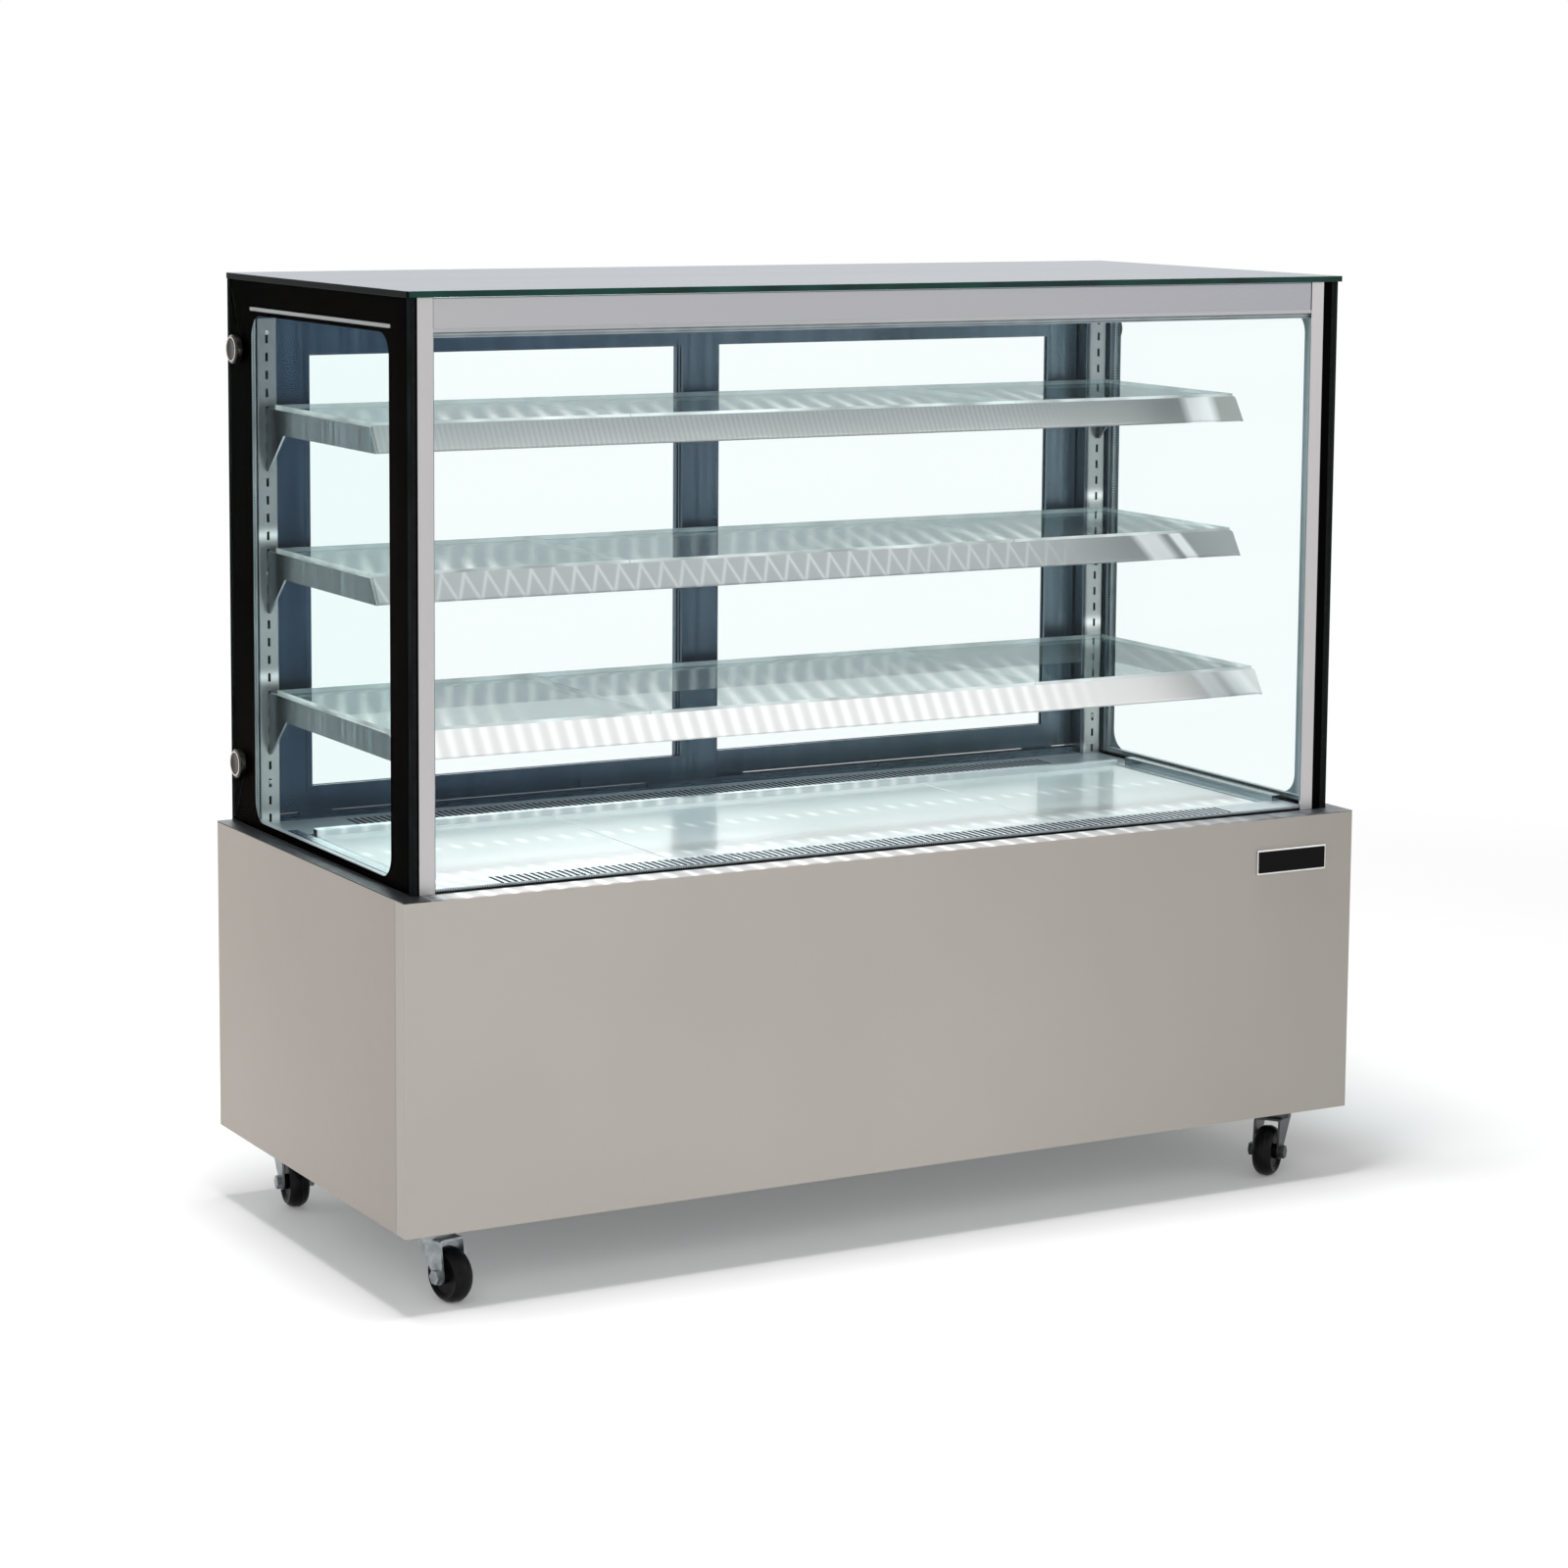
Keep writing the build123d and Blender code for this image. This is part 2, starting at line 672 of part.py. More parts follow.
def deck_side_trims():
    """Stepped cover strips between the deck and the side glass."""
    step = GRILLE_HALF - SIDE_TRIM_STEP
    top = BASE_TOP + LIP_H
    section = outline(
        (DECK_HALF, RIM_LOW),
        (GRILLE_HALF, RIM_LOW),
        (GRILLE_HALF, top),
        (step + SHEET, top),
        (step, top - SHEET),
        (step, BASE_TOP),
        (DECK_HALF, BASE_TOP),
    )
    return both_sides(along_y(section, DECK_FRONT, DECK_REAR + LIP_D))


# ---- glass house ------------------------------------------------------------------------

def front_posts():
    """Square tube posts at the two front corners."""
    return both_sides(along_z(tube_section(POST_IN, POST_OUT, FRAME_FRONT, POST_BACK), BASE_TOP, HOUSE_TOP))


def rear_posts():
    """Rectangular tube posts at the two rear corners, drilled for the standoffs."""
    tube = along_z(tube_section(REAR_POST_IN, SPACER_X, REAR_POST_Y, FRAME_REAR), BASE_TOP, HOUSE_TOP)
    for z in KNOB_Z:
        tube -= along_x(disc(KNOB_BOLT_R + RUN_CLEAR, KNOB_Y, z), SPACER_X - BEND_R, SPACER_X)
    return both_sides(tube)


def shelf_standards():
    """Slotted channels for the shelf hooks, on the front faces of the rear posts."""
    x0 = REAR_POST_IN
    x1 = REAR_POST_IN + STANDARD_W
    line = ((x0, REAR_POST_Y), (x0, STANDARD_Y), (x1, STANDARD_Y), (x1, REAR_POST_Y))
    channel = along_z(folded(line, Side.LEFT), BASE_TOP, STANDARD_TOP)
    slot = Rectangle(SLOT_W, SLOT_H)
    first = SLOT_LOW + SLOT_H / 2
    slots = Sketch() + [Pos(STANDARD_X, first + i * SLOT_PITCH) * slot for i in range(SLOT_COUNT)]
    return both_sides(channel - along_y(slots, STANDARD_Y, STANDARD_Y + SHEET))


def header_beam():
    """Folded channel across the top of the front glass."""
    back = FRAME_FRONT + HEADER_FLANGE
    line = ((back, HEADER_LOW), (FRAME_FRONT, HEADER_LOW), (FRAME_FRONT, HOUSE_TOP), (back, HOUSE_TOP))
    return along_x(folded(line, Side.RIGHT), -POST_IN, POST_IN)


def top_side_rails():
    """Square tubes that tie the front and rear posts together under the top glass."""
    section = tube_section(POST_IN, INNER_PANE_X - PANE, HOUSE_TOP - SIDE_RAIL_H, HOUSE_TOP)
    return both_sides(along_y(section, POST_BACK, REAR_POST_Y))


def rear_top_rail():
    """Top guide with one groove for each door."""
    section = area(TRACK_Y, TRACK_Y + TRACK_D, RAIL_LOW, HOUSE_TOP)
    for y in DOOR_Y:
        mid = y + DOOR_T / 2
        section -= area(mid - GROOVE_W / 2, mid + GROOVE_W / 2, RAIL_LOW, RAIL_LOW + GROOVE_H)
    return along_x(section, -REAR_POST_IN, REAR_POST_IN)


def rear_bottom_track():
    """Bottom track with one guide rib for each door."""
    floor = BASE_TOP + TRACK_T
    section = area(TRACK_Y, TRACK_Y + TRACK_D, BASE_TOP, floor)
    for y in DOOR_Y:
        mid = y + DOOR_T / 2
        section += area(mid - RIB_W / 2, mid + RIB_W / 2, floor, floor + RIB_H)
    return along_x(section, -REAR_POST_IN, REAR_POST_IN)


def front_glass():
    """Two panes of the front double glazing."""
    outer = area(FRAME_FRONT, FRAME_FRONT + PANE, GLASS_LOW, HEADER_LOW)
    inner = Pos(PANE + AIR_GAP, 0) * outer
    return [along_x(outer, -POST_IN, POST_IN), along_x(inner, -POST_IN, POST_IN)]


def side_glass(sign):
    """Outer and inner pane of one side; the outer pane runs the full depth."""
    face = area(FRAME_FRONT, HALF_D, GLASS_LOW, HOUSE_TOP)
    outer = along_x(face, ENAMEL_X, GLASS_X)
    outer = chamfer(outer.faces().sort_by(Axis.X)[-1].edges(), ARRIS)
    for z in KNOB_Z:
        outer -= along_x(disc(KNOB_BOLT_R + RUN_CLEAR, KNOB_Y, z), ENAMEL_X, GLASS_X)
    inner = along_x(area(POST_BACK, REAR_POST_Y, GLASS_LOW, HOUSE_TOP), INNER_PANE_X - PANE, INNER_PANE_X)
    return [on_side(outer, sign), on_side(inner, sign)]


def spacer_ring(x0, x1, z0, z1, sill=SPACER_W):
    """Flat ring of spacer bar between two corners of a pane, with its own height at the sill."""
    w = SPACER_W
    return area(x0, x1, z0, z1) - area(x0 + w, x1 - w, z0 + sill, z1 - w)


def window_limits():
    """Front, rear, low and high edges of the clear window in the side glass."""
    return (
        FRAME_FRONT + WINDOW_FRONT,
        HALF_D - WINDOW_REAR,
        GLASS_LOW + WINDOW_BOTTOM,
        HOUSE_TOP - WINDOW_TOP,
    )


def trim_line():
    """Outline of the silver line let into the dark border above the side window."""
    front, rear, low, high = window_limits()
    z = high + TRIM_LINE_RISE
    return area(front - TRIM_LINE_OVER, rear + TRIM_LINE_OVER, z, z + TRIM_LINE_H)


def glass_spacers():
    """Spacers of the front and side double glazing, and the silver trim lines."""
    front = spacer_ring(-POST_IN, POST_IN, GLASS_LOW, HEADER_LOW, FRONT_SPACER_SILL)
    y0 = POST_BACK + SPACER_INSET
    y1 = REAR_POST_Y - SPACER_REAR
    side = spacer_ring(y0, y1, GLASS_LOW + SPACER_LOW, HOUSE_TOP - SPACER_HIGH)
    spacers = [along_y(front, FRAME_FRONT + PANE, FRAME_FRONT + PANE + AIR_GAP)]
    spacers += both_sides(along_x(side, INNER_PANE_X, SPACER_X))
    spacers += both_sides(along_x(trim_line(), SPACER_X, ENAMEL_X))
    return spacers


def enamel_borders():
    """Dark fired borders on the inner faces of the outer side panes."""
    front, rear, low, high = window_limits()
    border = area(FRAME_FRONT, HALF_D, GLASS_LOW, HOUSE_TOP)
    border -= area(front, rear, low, high, WINDOW_R)
    border -= trim_line()
    for z in KNOB_Z:
        border -= disc(KNOB_BOLT_R + RUN_CLEAR, KNOB_Y, z)
    return both_sides(along_x(border, SPACER_X, ENAMEL_X))


def top_glass():
    """Toughened top with rounded corners and ground edges."""
    x = GLASS_X + TOP_GLASS_OVER_SIDE
    face = area(-x, x, FRAME_FRONT - TOP_GLASS_OVER_FRONT, FRAME_REAR, TOP_GLASS_R)
    plate = along_z(face, HOUSE_TOP, CASE_HEIGHT)
    return chamfer(plate.faces().sort_by(Axis.Z)[-1].edges(), ARRIS)


def glass_standoff():
    """Round standoff about X: nut, bolt, washer and dished cap, with x = 0 on the glass."""
    cap = KNOB_WASHER + KNOB_CAP
    nut = -PANE - ENAMEL_T - SHEET
    return turned_x(
        outline(
            (nut - KNOB_NUT_T, 0),
            (nut - KNOB_NUT_T, KNOB_NUT_R),
            (nut, KNOB_NUT_R),
            (nut, KNOB_BOLT_R),
            (0, KNOB_BOLT_R),
            (0, KNOB_WASHER_R),
            (KNOB_WASHER, KNOB_WASHER_R),
            (KNOB_WASHER, KNOB_R),
            (cap - KNOB_EDGE, KNOB_R),
            (cap, KNOB_R - KNOB_EDGE),
            (cap, KNOB_RECESS_R),
            (cap - KNOB_RECESS, KNOB_RECESS_R),
            (cap - KNOB_RECESS, 0),
        )
    )


def glass_standoffs():
    """Round standoffs that clamp the side glass to the rear posts."""
    knobs = []
    for z in KNOB_Z:
        knobs += both_sides(Pos(GLASS_X, KNOB_Y, z) * glass_standoff())
    return knobs


def glazing_gasket():
    """Dark seals under the glass and up the front corners."""
    front = area(-POST_IN, POST_IN, FRAME_FRONT, FRONT_PANES_BACK)
    side = area(INNER_PANE_X - PANE, GLASS_X, POST_BACK, REAR_POST_Y)
    side += area(POST_OUT, GLASS_X, FRAME_FRONT, POST_BACK)
    side += area(SPACER_X, GLASS_X, REAR_POST_Y, HALF_D)
    corner = area(POST_OUT, SPACER_X, FRAME_FRONT, FRAME_FRONT + GASKET_D)
    seal = along_z(side, BASE_TOP, GLASS_LOW) + along_z(corner, GLASS_LOW, HOUSE_TOP)
    return [along_z(front, BASE_TOP, GLASS_LOW)] + both_sides(seal)


def led_channel(y, top):
    """Light channel hung under a flat face, with a crowned diffuser below."""
    low = top - LED_H + LED_CROWN
    edge = Polyline((y, low), (y, top), (y + LED_W, top), (y + LED_W, low))
    crown = ThreePointArc((y + LED_W, low), (y + LED_W / 2, top - LED_H), (y, low))
    half = POST_IN - LED_END
    return along_x(make_face(edge + crown), -half, half)


def led_strips():
    """Light channels under the header and under each shelf front."""
    strips = [led_channel(FRONT_PANES_BACK + 2, HEADER_LOW)]
    for level in range(SHELF_LEVELS):
        strips.append(led_channel(shelf_nose(level) + LED_INSET, shelf_z(level) - SHEET))
    return strips


# ---- shelves ----------------------------------------------------------------------------

def hook_z(level):
    """Foot of the standard's slot that the top hook of a shelf sits in; level 0 is the top shelf."""
    slot = SLOT_COUNT - SHELF_TOP_GAP - level * SHELF_STEP
    return SLOT_LOW + slot * SLOT_PITCH


def shelf_z(level):
    """Underside of the glass of a shelf."""
    return hook_z(level) + HOOK_DROP


def shelf_nose(level):
    """Y of the top edge of a shelf front; the bottom shelf is deeper than the others."""
    depth = SHELF_DEPTH_DEEP if level == SHELF_LEVELS - 1 else SHELF_DEPTH
    return SHELF_REAR - depth


def shelf_bracket(level):
    """Cantilever bracket of the right-hand end, with two hooks that drop into the standard."""
    z = shelf_z(level)
    nose = shelf_nose(level)
    back = STANDARD_Y
    low = z - NOSE_DROP
    plate = outline(
        (nose, z),
        (back, z),
        (back, z - BRACKET_TIP),
        (back - BRACKET_TIP_W, z - BRACKET_TIP),
        (back - BRACKET_GUSSET, low),
        (nose - NOSE_RUN, low),
    )
    for neck in (hook_z(level), hook_z(level) - 2 * SLOT_PITCH):
        plate += outline(
            (back, neck),
            (back + SHEET, neck),
            (back + SHEET, neck - HOOK_TIP),
            (back + HOOK_REACH, neck - HOOK_TIP),
            (back + HOOK_REACH, neck + HOOK_NECK),
            (back, neck + HOOK_NECK),
        )
    return along_x(plate, BRACKET_IN, BRACKET_IN + BRACKET_T)


def shelf_frame(level):
    """Leaning front rail, rear rail and two end brackets of one shelf."""
    z = shelf_z(level)
    nose = shelf_nose(level)
    low = z - NOSE_DROP
    foot = nose - SHEET - NOSE_RUN
    front = folded(((foot + NOSE_FOOT, low), (foot, low), (nose - SHEET, z + NOSE_LIP)), Side.RIGHT)
    seat = nose + NOSE_SEAT
    front += outline((nose - SHEET, z - SHEET), (seat, z - SHEET), (seat, z), (nose - 1, z))
    rear = area(SHELF_REAR - SHEET, SHELF_REAR, z - NOSE_H, z + REAR_LIP)
    rear += area(SHELF_REAR - REAR_SEAT, SHELF_REAR, z - SHEET, z)
    rails = [along_x(front, -BRACKET_IN, BRACKET_IN), along_x(rear, -BRACKET_IN, BRACKET_IN)]
    return rails + both_sides(shelf_bracket(level))


def shelf_glass(level):
    """Three loose glass panes of one shelf."""
    z = shelf_z(level)
    y0 = shelf_nose(level) + SHELF_CLEAR
    y1 = SHELF_REAR - SHEET - SHELF_CLEAR
    panes = []
    for x0, x1 in ((-SHELF_END, -SHELF_SEAM), (-SHELF_SEAM, SHELF_SEAM), (SHELF_SEAM, SHELF_END)):
        panes.append(along_z(area(x0 + SEAM_GAP / 2, x1 - SEAM_GAP / 2, y0, y1), z, z + SHELF_GLASS_T))
    return panes


# ---- sliding doors ------------------------------------------------------------------------

def door_y(sign):
    """Front face of a door; the left door runs in the front track."""
    return DOOR_Y[0] if sign < 0 else DOOR_Y[1]


def door_shoe(x, mid):
    """Glide shoe that straddles the rib of the bottom track."""
    track = BASE_TOP + TRACK_T
    half = RIB_W / 2 + SHOE_GAP
    section = area(mid - SHOE_W / 2, mid + SHOE_W / 2, track, DOOR_LOW)
    section -= area(mid - half, mid + half, track, track + RIB_H + 1)
    return along_x(section, x - SHOE_L / 2, x + SHOE_L / 2)


def door_frame(sign):
    """Frame of one sliding door, with its glazing bead, recessed pull and glide shoes."""
    y0 = door_y(sign)
    y1 = y0 + DOOR_T
    mid = (y0 + y1) / 2
    window = area(DOOR_CENTRE, WINDOW_END, WINDOW_LOW, WINDOW_HIGH)
    frame = along_y(area(-DOOR_CENTRE, DOOR_END, DOOR_LOW, DOOR_HIGH), y0, y1)
    frame = fillet(frame.edges().filter_by(Axis.Z), DOOR_EDGE_R)
    frame -= along_y(window, y0, y1)
    lap = DOOR_PANE_LAP
    open_lap = lap + DOOR_PANE_GAP
    rebate = area(DOOR_CENTRE - open_lap, WINDOW_END + open_lap, WINDOW_LOW - lap, WINDOW_HIGH + open_lap)
    frame -= along_y(rebate, mid - PANE / 2, mid + PANE / 2)
    w = BEAD_W
    bead = area(DOOR_CENTRE - w, WINDOW_END + w, WINDOW_LOW - w, WINDOW_HIGH + w) - window
    frame += along_y(bead, y0 - BEAD_T, y0)
    pull_x = (WINDOW_END + w + DOOR_END) / 2
    pull_z = DOOR_LOW + PULL_LOW + PULL_LENGTH / 2
    pull = Pos(pull_x, pull_z) * Rot(0, 0, 90) * SlotOverall(PULL_LENGTH, PULL_W)
    frame -= along_y(pull, y1 - PULL_DEPTH, y1)
    for x in (SHOE_INSET, DOOR_END - SHOE_INSET):
        frame += door_shoe(x, mid)
    return on_side(frame, sign)


def door_glass(sign):
    """Pane of one sliding door."""
    mid = door_y(sign) + DOOR_T / 2
    lap = DOOR_PANE_LAP
    face = area(DOOR_CENTRE - lap, WINDOW_END + lap, WINDOW_LOW - lap, WINDOW_HIGH + lap)
    return on_side(along_y(face, mid - PANE / 2, mid + PANE / 2), sign)


# ---- refrigeration --------------------------------------------------------------------------

def axial_fan(radius):
    """Fan wheel about local Z with pitched blades, and the shaft that enters the motor."""
    hub_r = radius * HUB_SHARE
    fan = along_z(Circle(hub_r), HUB_Z - HUB_H / 2, HUB_Z + HUB_H / 2)
    fan += along_z(Circle(SHAFT_R), HUB_Z, SHAFT_END)
    section = Rot(0, 0, BLADE_PITCH) * Rectangle(radius * BLADE_CHORD, BLADE_T)
    blade = Pos(0, 0, HUB_Z) * along_x(section, 0, radius)
    blade &= along_z(Circle(radius), 0, 2 * HUB_Z)
    for i in range(BLADES):
        fan += Rot(0, 0, i * 360 / BLADES) * blade
    return fan


def fan_cradle(radius):
    """Motor and its four arms about local Z, standing on a plate at z = 0."""
    arm = radius + FAN_TIP_GAP + 5
    motor = along_z(Circle(MOTOR_R), MOTOR_Z0, MOTOR_Z1)
    motor -= along_z(Circle(SHAFT_R + RUN_CLEAR), MOTOR_Z0, SHAFT_END + 1)
    top = MOTOR_Z1 - 2
    strap = outline(
        (MOTOR_R - 2, top - ARM_T),
        (arm - ARM_T, top - ARM_T),
        (arm - ARM_T, 0),
        (arm, 0),
        (arm, top - ARM_T),
        (arm - ARM_T, top),
        (MOTOR_R - 2, top),
    )
    strap = along_y(strap, -ARM_W / 2, ARM_W / 2)
    for i in range(4):
        motor += Rot(0, 0, 45 + i * 90) * strap
    return motor


def hairpin(x, y, z):
    """Return bend of a coil tube, from z up to the next tube, at the right-hand end."""
    section = Plane.YZ.offset(x) * Pos(y, z) * RegularPolygon(COIL_TUBE_R, PIPE_FLATS)
    axis = Axis((x, y, z + BEND_SPAN / 2), (0, -1, 0))
    return revolve(section, axis=axis, revolution_arc=180)


def compressor():
    """Hermetic compressor: shouldered shell with its weld seam, feet and terminal box."""
    middle = SHELL_LOW + SHELL_H / 2
    shell = along_z(Circle(SHELL_R), SHELL_LOW, SHELL_LOW + SHELL_H)
    shell = chamfer(shell.edges().filter_by(GeomType.CIRCLE), SHELL_SHOULDER)
    seam = along_z(Circle(SHELL_R + SEAM_R), middle - SEAM_R, middle + SEAM_R)
    foot_z = SHELL_LOW - FOOT_T + 1
    foot = area(-FOOT_L / 2, FOOT_L / 2, -FOOT_W / 2, FOOT_W / 2, FOOT_PAD_R)
    terminal = area(-TERMINAL_REACH, 0, middle - TERMINAL_H / 2, middle + TERMINAL_H / 2, TERMINAL_R)
    body = shell + seam + along_z(foot, foot_z, foot_z + FOOT_T)
    body += along_y(terminal, -TERMINAL_W / 2, TERMINAL_W / 2)
    pad_x = FOOT_L / 2 - FOOT_PAD_INSET
    pad_y = FOOT_W / 2 - FOOT_PAD_INSET
    for dx in (-pad_x, pad_x):
        for dy in (-pad_y, pad_y):
            body += along_z(disc(FOOT_PAD_R, dx, dy), FLOOR_TOP, foot_z)
    return Pos(COMPRESSOR_X, COMPRESSOR_Y, 0) * body


def condenser_coil():
    """Finned condenser with the return bends of its tubes."""
    x0 = COIL_LEFT
    x1 = FAN_X + COIL_HALF
    section = area(x0, x1, COIL_FRONT, COIL_REAR)
    pitch = (x1 - x0) / COIL_FINS
    fins = Sketch()
    for i in range(COIL_FINS):
        x = x0 + (i + 0.5) * pitch
        fins += area(x - FIN_GAP / 2, x + FIN_GAP / 2, COIL_REAR - FIN_DEPTH, COIL_REAR)
    coil = along_z(section, FLOOR_TOP, COIL_TOP) - along_z(fins, FLOOR_TOP + FIN_EDGE, COIL_TOP - FIN_EDGE)
    for i in range(COIL_TUBES):
        z = FLOOR_TOP + COIL_TUBE_FIRST + i * COIL_TUBE_PITCH
        coil += hairpin(x1, COIL_FRONT + COIL_DEPTH / 2, z)
    return coil


def fan_shroud():
    """Shroud on the front of the condenser, carrying the fan motor."""
    y1 = COIL_FRONT
    y0 = y1 - SHROUD_D
    x0 = COIL_LEFT
    x1 = FAN_X + COIL_HALF
    box = along_y(area(x0, x1, FLOOR_TOP, COIL_TOP), y0, y1)
    inside = area(x0 + SHEET, x1 - SHEET, FLOOR_TOP + SHEET, COIL_TOP - SHEET)
    box -= along_y(inside, y0 + SHEET, y1)
    box -= along_y(disc(FAN_R + FAN_TIP_GAP, FAN_X, FAN_Z), y0, y0 + SHEET)
    return box + Pos(FAN_X, y0, FAN_Z) * Rot(90, 0, 0) * fan_cradle(FAN_R)


def condenser_fan():
    """Condenser fan wheel."""
    return Pos(FAN_X, COIL_FRONT - SHROUD_D, FAN_Z) * Rot(90, 0, 0) * axial_fan(FAN_R)


def evaporator_coil():
    """Finned evaporator standing on the floor of the well."""
    x = EVAP_HALF
    y0 = EVAP_FRONT
    y1 = EVAP_FRONT + EVAP_DEPTH
    top = WELL_FLOOR + EVAP_H
    pitch = 2 * x / EVAP_FINS
    fins = Sketch()
    for i in range(EVAP_FINS):
        middle = -x + (i + 0.5) * pitch
        fins += area(middle - EVAP_FIN_GAP / 2, middle + EVAP_FIN_GAP / 2, y0, y0 + EVAP_FIN_DEPTH)
    coil = along_z(area(-x, x, y0, y1), WELL_FLOOR, top)
    coil -= along_z(fins, WELL_FLOOR + FIN_EDGE, top - FIN_EDGE)
    for i in range(EVAP_TUBES):
        z = WELL_FLOOR + EVAP_TUBE_FIRST + i * EVAP_TUBE_PITCH
        coil += hairpin(x, (y0 + y1) / 2, z)
    return coil


def evaporator_fan_plate():
    """Upright folded plate in the well that carries the evaporator fan."""
    y = EVAP_PLATE_Y
    half = EVAP_HALF + EVAP_PLATE_OVER
    top = WELL_FLOOR + EVAP_PLATE_H
    section = folded(((y + EVAP_PLATE_FOOT, WELL_FLOOR), (y, WELL_FLOOR), (y, top)), Side.RIGHT)
    plate = along_x(section, -half, half)
    plate -= along_y(disc(EVAP_FAN_R + FAN_TIP_GAP, 0, EVAP_FAN_Z), y, y + SHEET)
    return plate + Pos(0, y + SHEET, EVAP_FAN_Z) * Rot(-90, 0, 0) * fan_cradle(EVAP_FAN_R)


def evaporator_fan():
    """Evaporator fan wheel."""
    return Pos(0, EVAP_PLATE_Y + SHEET, EVAP_FAN_Z) * Rot(-90, 0, 0) * axial_fan(EVAP_FAN_R)


def pipe(*points):
    """Copper line along a path with rounded corners, drawn with flats round it."""
    path = FilletPolyline(*points, radius=LINE_BEND)
    start = Vector(*points[0])
    profile = Plane(origin=start, z_dir=Vector(*points[1]) - start) * RegularPolygon(LINE_R, PIPE_FLATS)
    return sweep(profile, path=path)


def refrigerant_lines():
    """Discharge line to the condenser, liquid line up to the well, suction line back."""
    shell = COMPRESSOR_X + SHELL_R
    y = COMPRESSOR_Y
    turn = COMPRESSOR_X + LINE_DISCHARGE_TURN
    discharge_y = COIL_FRONT + LINE_DISCHARGE_IN
    liquid_y = COIL_FRONT + LINE_LIQUID_IN
    liquid_x, suction_x = LINE_HOLES
    evaporator = EVAP_FRONT + EVAP_DEPTH
    low = WELL_FLOOR + LINE_RISE
    high = WELL_FLOOR + 2 * LINE_RISE
    discharge = pipe(
        (shell, y, LINE_LOW),
        (turn, y, LINE_LOW),
        (turn, discharge_y, LINE_LOW),
        (COIL_LEFT, discharge_y, LINE_LOW),
    )
    liquid = pipe(
        (COIL_LEFT, liquid_y, LINE_HIGH),
        (liquid_x, liquid_y, LINE_HIGH),
        (liquid_x, LINE_Y, LINE_HIGH),
        (liquid_x, LINE_Y, low),
        (liquid_x, evaporator, low),
    )
    suction = pipe(
        (shell, y, LINE_MID),
        (suction_x, y, LINE_MID),
        (suction_x, LINE_Y, LINE_MID),
        (suction_x, LINE_Y, high),
        (suction_x, evaporator, high),
    )
    return [discharge, liquid, suction]


def drip_tray():
    """Moulded condensate tray under the drain, with drafted walls."""
    rim = RectangleRounded(TRAY_X, TRAY_Y, TRAY_R)
    wall = 2 * TRAY_WALL
    mouth = RectangleRounded(TRAY_X - wall, TRAY_Y - wall, TRAY_R - TRAY_WALL)
    tray = extrude(rim, amount=-TRAY_H, taper=TRAY_TAPER)
    tray -= extrude(mouth, amount=TRAY_WALL - TRAY_H, taper=TRAY_TAPER)
    return Pos(DRAIN_X, DRAIN_Y + TRAY_SHIFT, FLOOR_TOP + TRAY_H) * tray


# ---- controls ---------------------------------------------------------------------------------

def rocker_x(index):
    """Centre of a rocker switch across the control panel."""
    return SWITCH_X - index * ROCKER_PITCH


def control_panel():
    """Control panel with a sunk display, touch keys and two switch wells."""
    back = HALF_D - SHEET
    x = PANEL_X
    z = PANEL_Z
    w = PANEL_HALF_W
    h = PANEL_HALF_H
    d = PANEL_FLANGE
    b = PANEL_BOX_INSET
    panel = along_y(area(x - w, x + w, z - h, z + h, PANEL_R), back - 2, PANEL_FACE)
    panel += along_y(area(x - w - d, x + w + d, z - h - d, z + h + d, PANEL_R), back - 2, back)
    panel += along_y(area(x - w + 2 * b, x + w - b, z - h + b, z + h - b), back - PANEL_BOX_D, back - 2)
    left = x + DISPLAY_X
    low = z + DISPLAY_Z
    display = area(left, left + DISPLAY_W, low, low + DISPLAY_H)
    panel -= along_y(display, PANEL_FACE - DISPLAY_SINK, PANEL_FACE)
    for i in range(KEYS):
        key = Pos(left + KEY_W / 2 + 1 + i * KEY_PITCH, z + KEY_Z) * Rectangle(KEY_W, KEY_W)
        panel += along_y(key, PANEL_FACE, PANEL_FACE + KEY_RISE)
    hw = ROCKER_W / 2 + ROCKER_SIDE_GAP
    hh = ROCKER_H / 2 + ROCKER_END_GAP
    for i in range(2):
        middle = rocker_x(i)
        well = area(middle - hw, middle + hw, z - hh, z + hh)
        panel -= along_y(well, PANEL_FACE - ROCKER_DEPTH, PANEL_FACE)
        pivot = disc(PIVOT_R, PANEL_FACE - PIVOT_INSET, z)
        panel += along_x(pivot, middle - hw - 0.5, middle + hw + 0.5)
    return panel


def rocker(index):
    """Rocker switch cap with a dished face, shown tipped to its off side."""
    half = ROCKER_H / 2
    sides = Polyline((ROCKER_FACE, -half), (-ROCKER_BACK, -half), (-ROCKER_BACK, half), (ROCKER_FACE, half))
    dish = ThreePointArc((ROCKER_FACE, half), (ROCKER_DISH, 0), (ROCKER_FACE, -half))
    section = make_face(sides + dish) - Circle(PIVOT_R + RUN_CLEAR)
    cap = along_x(section, -ROCKER_W / 2, ROCKER_W / 2)
    place = Pos(rocker_x(index), PANEL_FACE - PIVOT_INSET, PANEL_Z)
    return place * Rot(-ROCKER_TILT, 0, 0) * cap


# ---- casters ------------------------------------------------------------------------------------

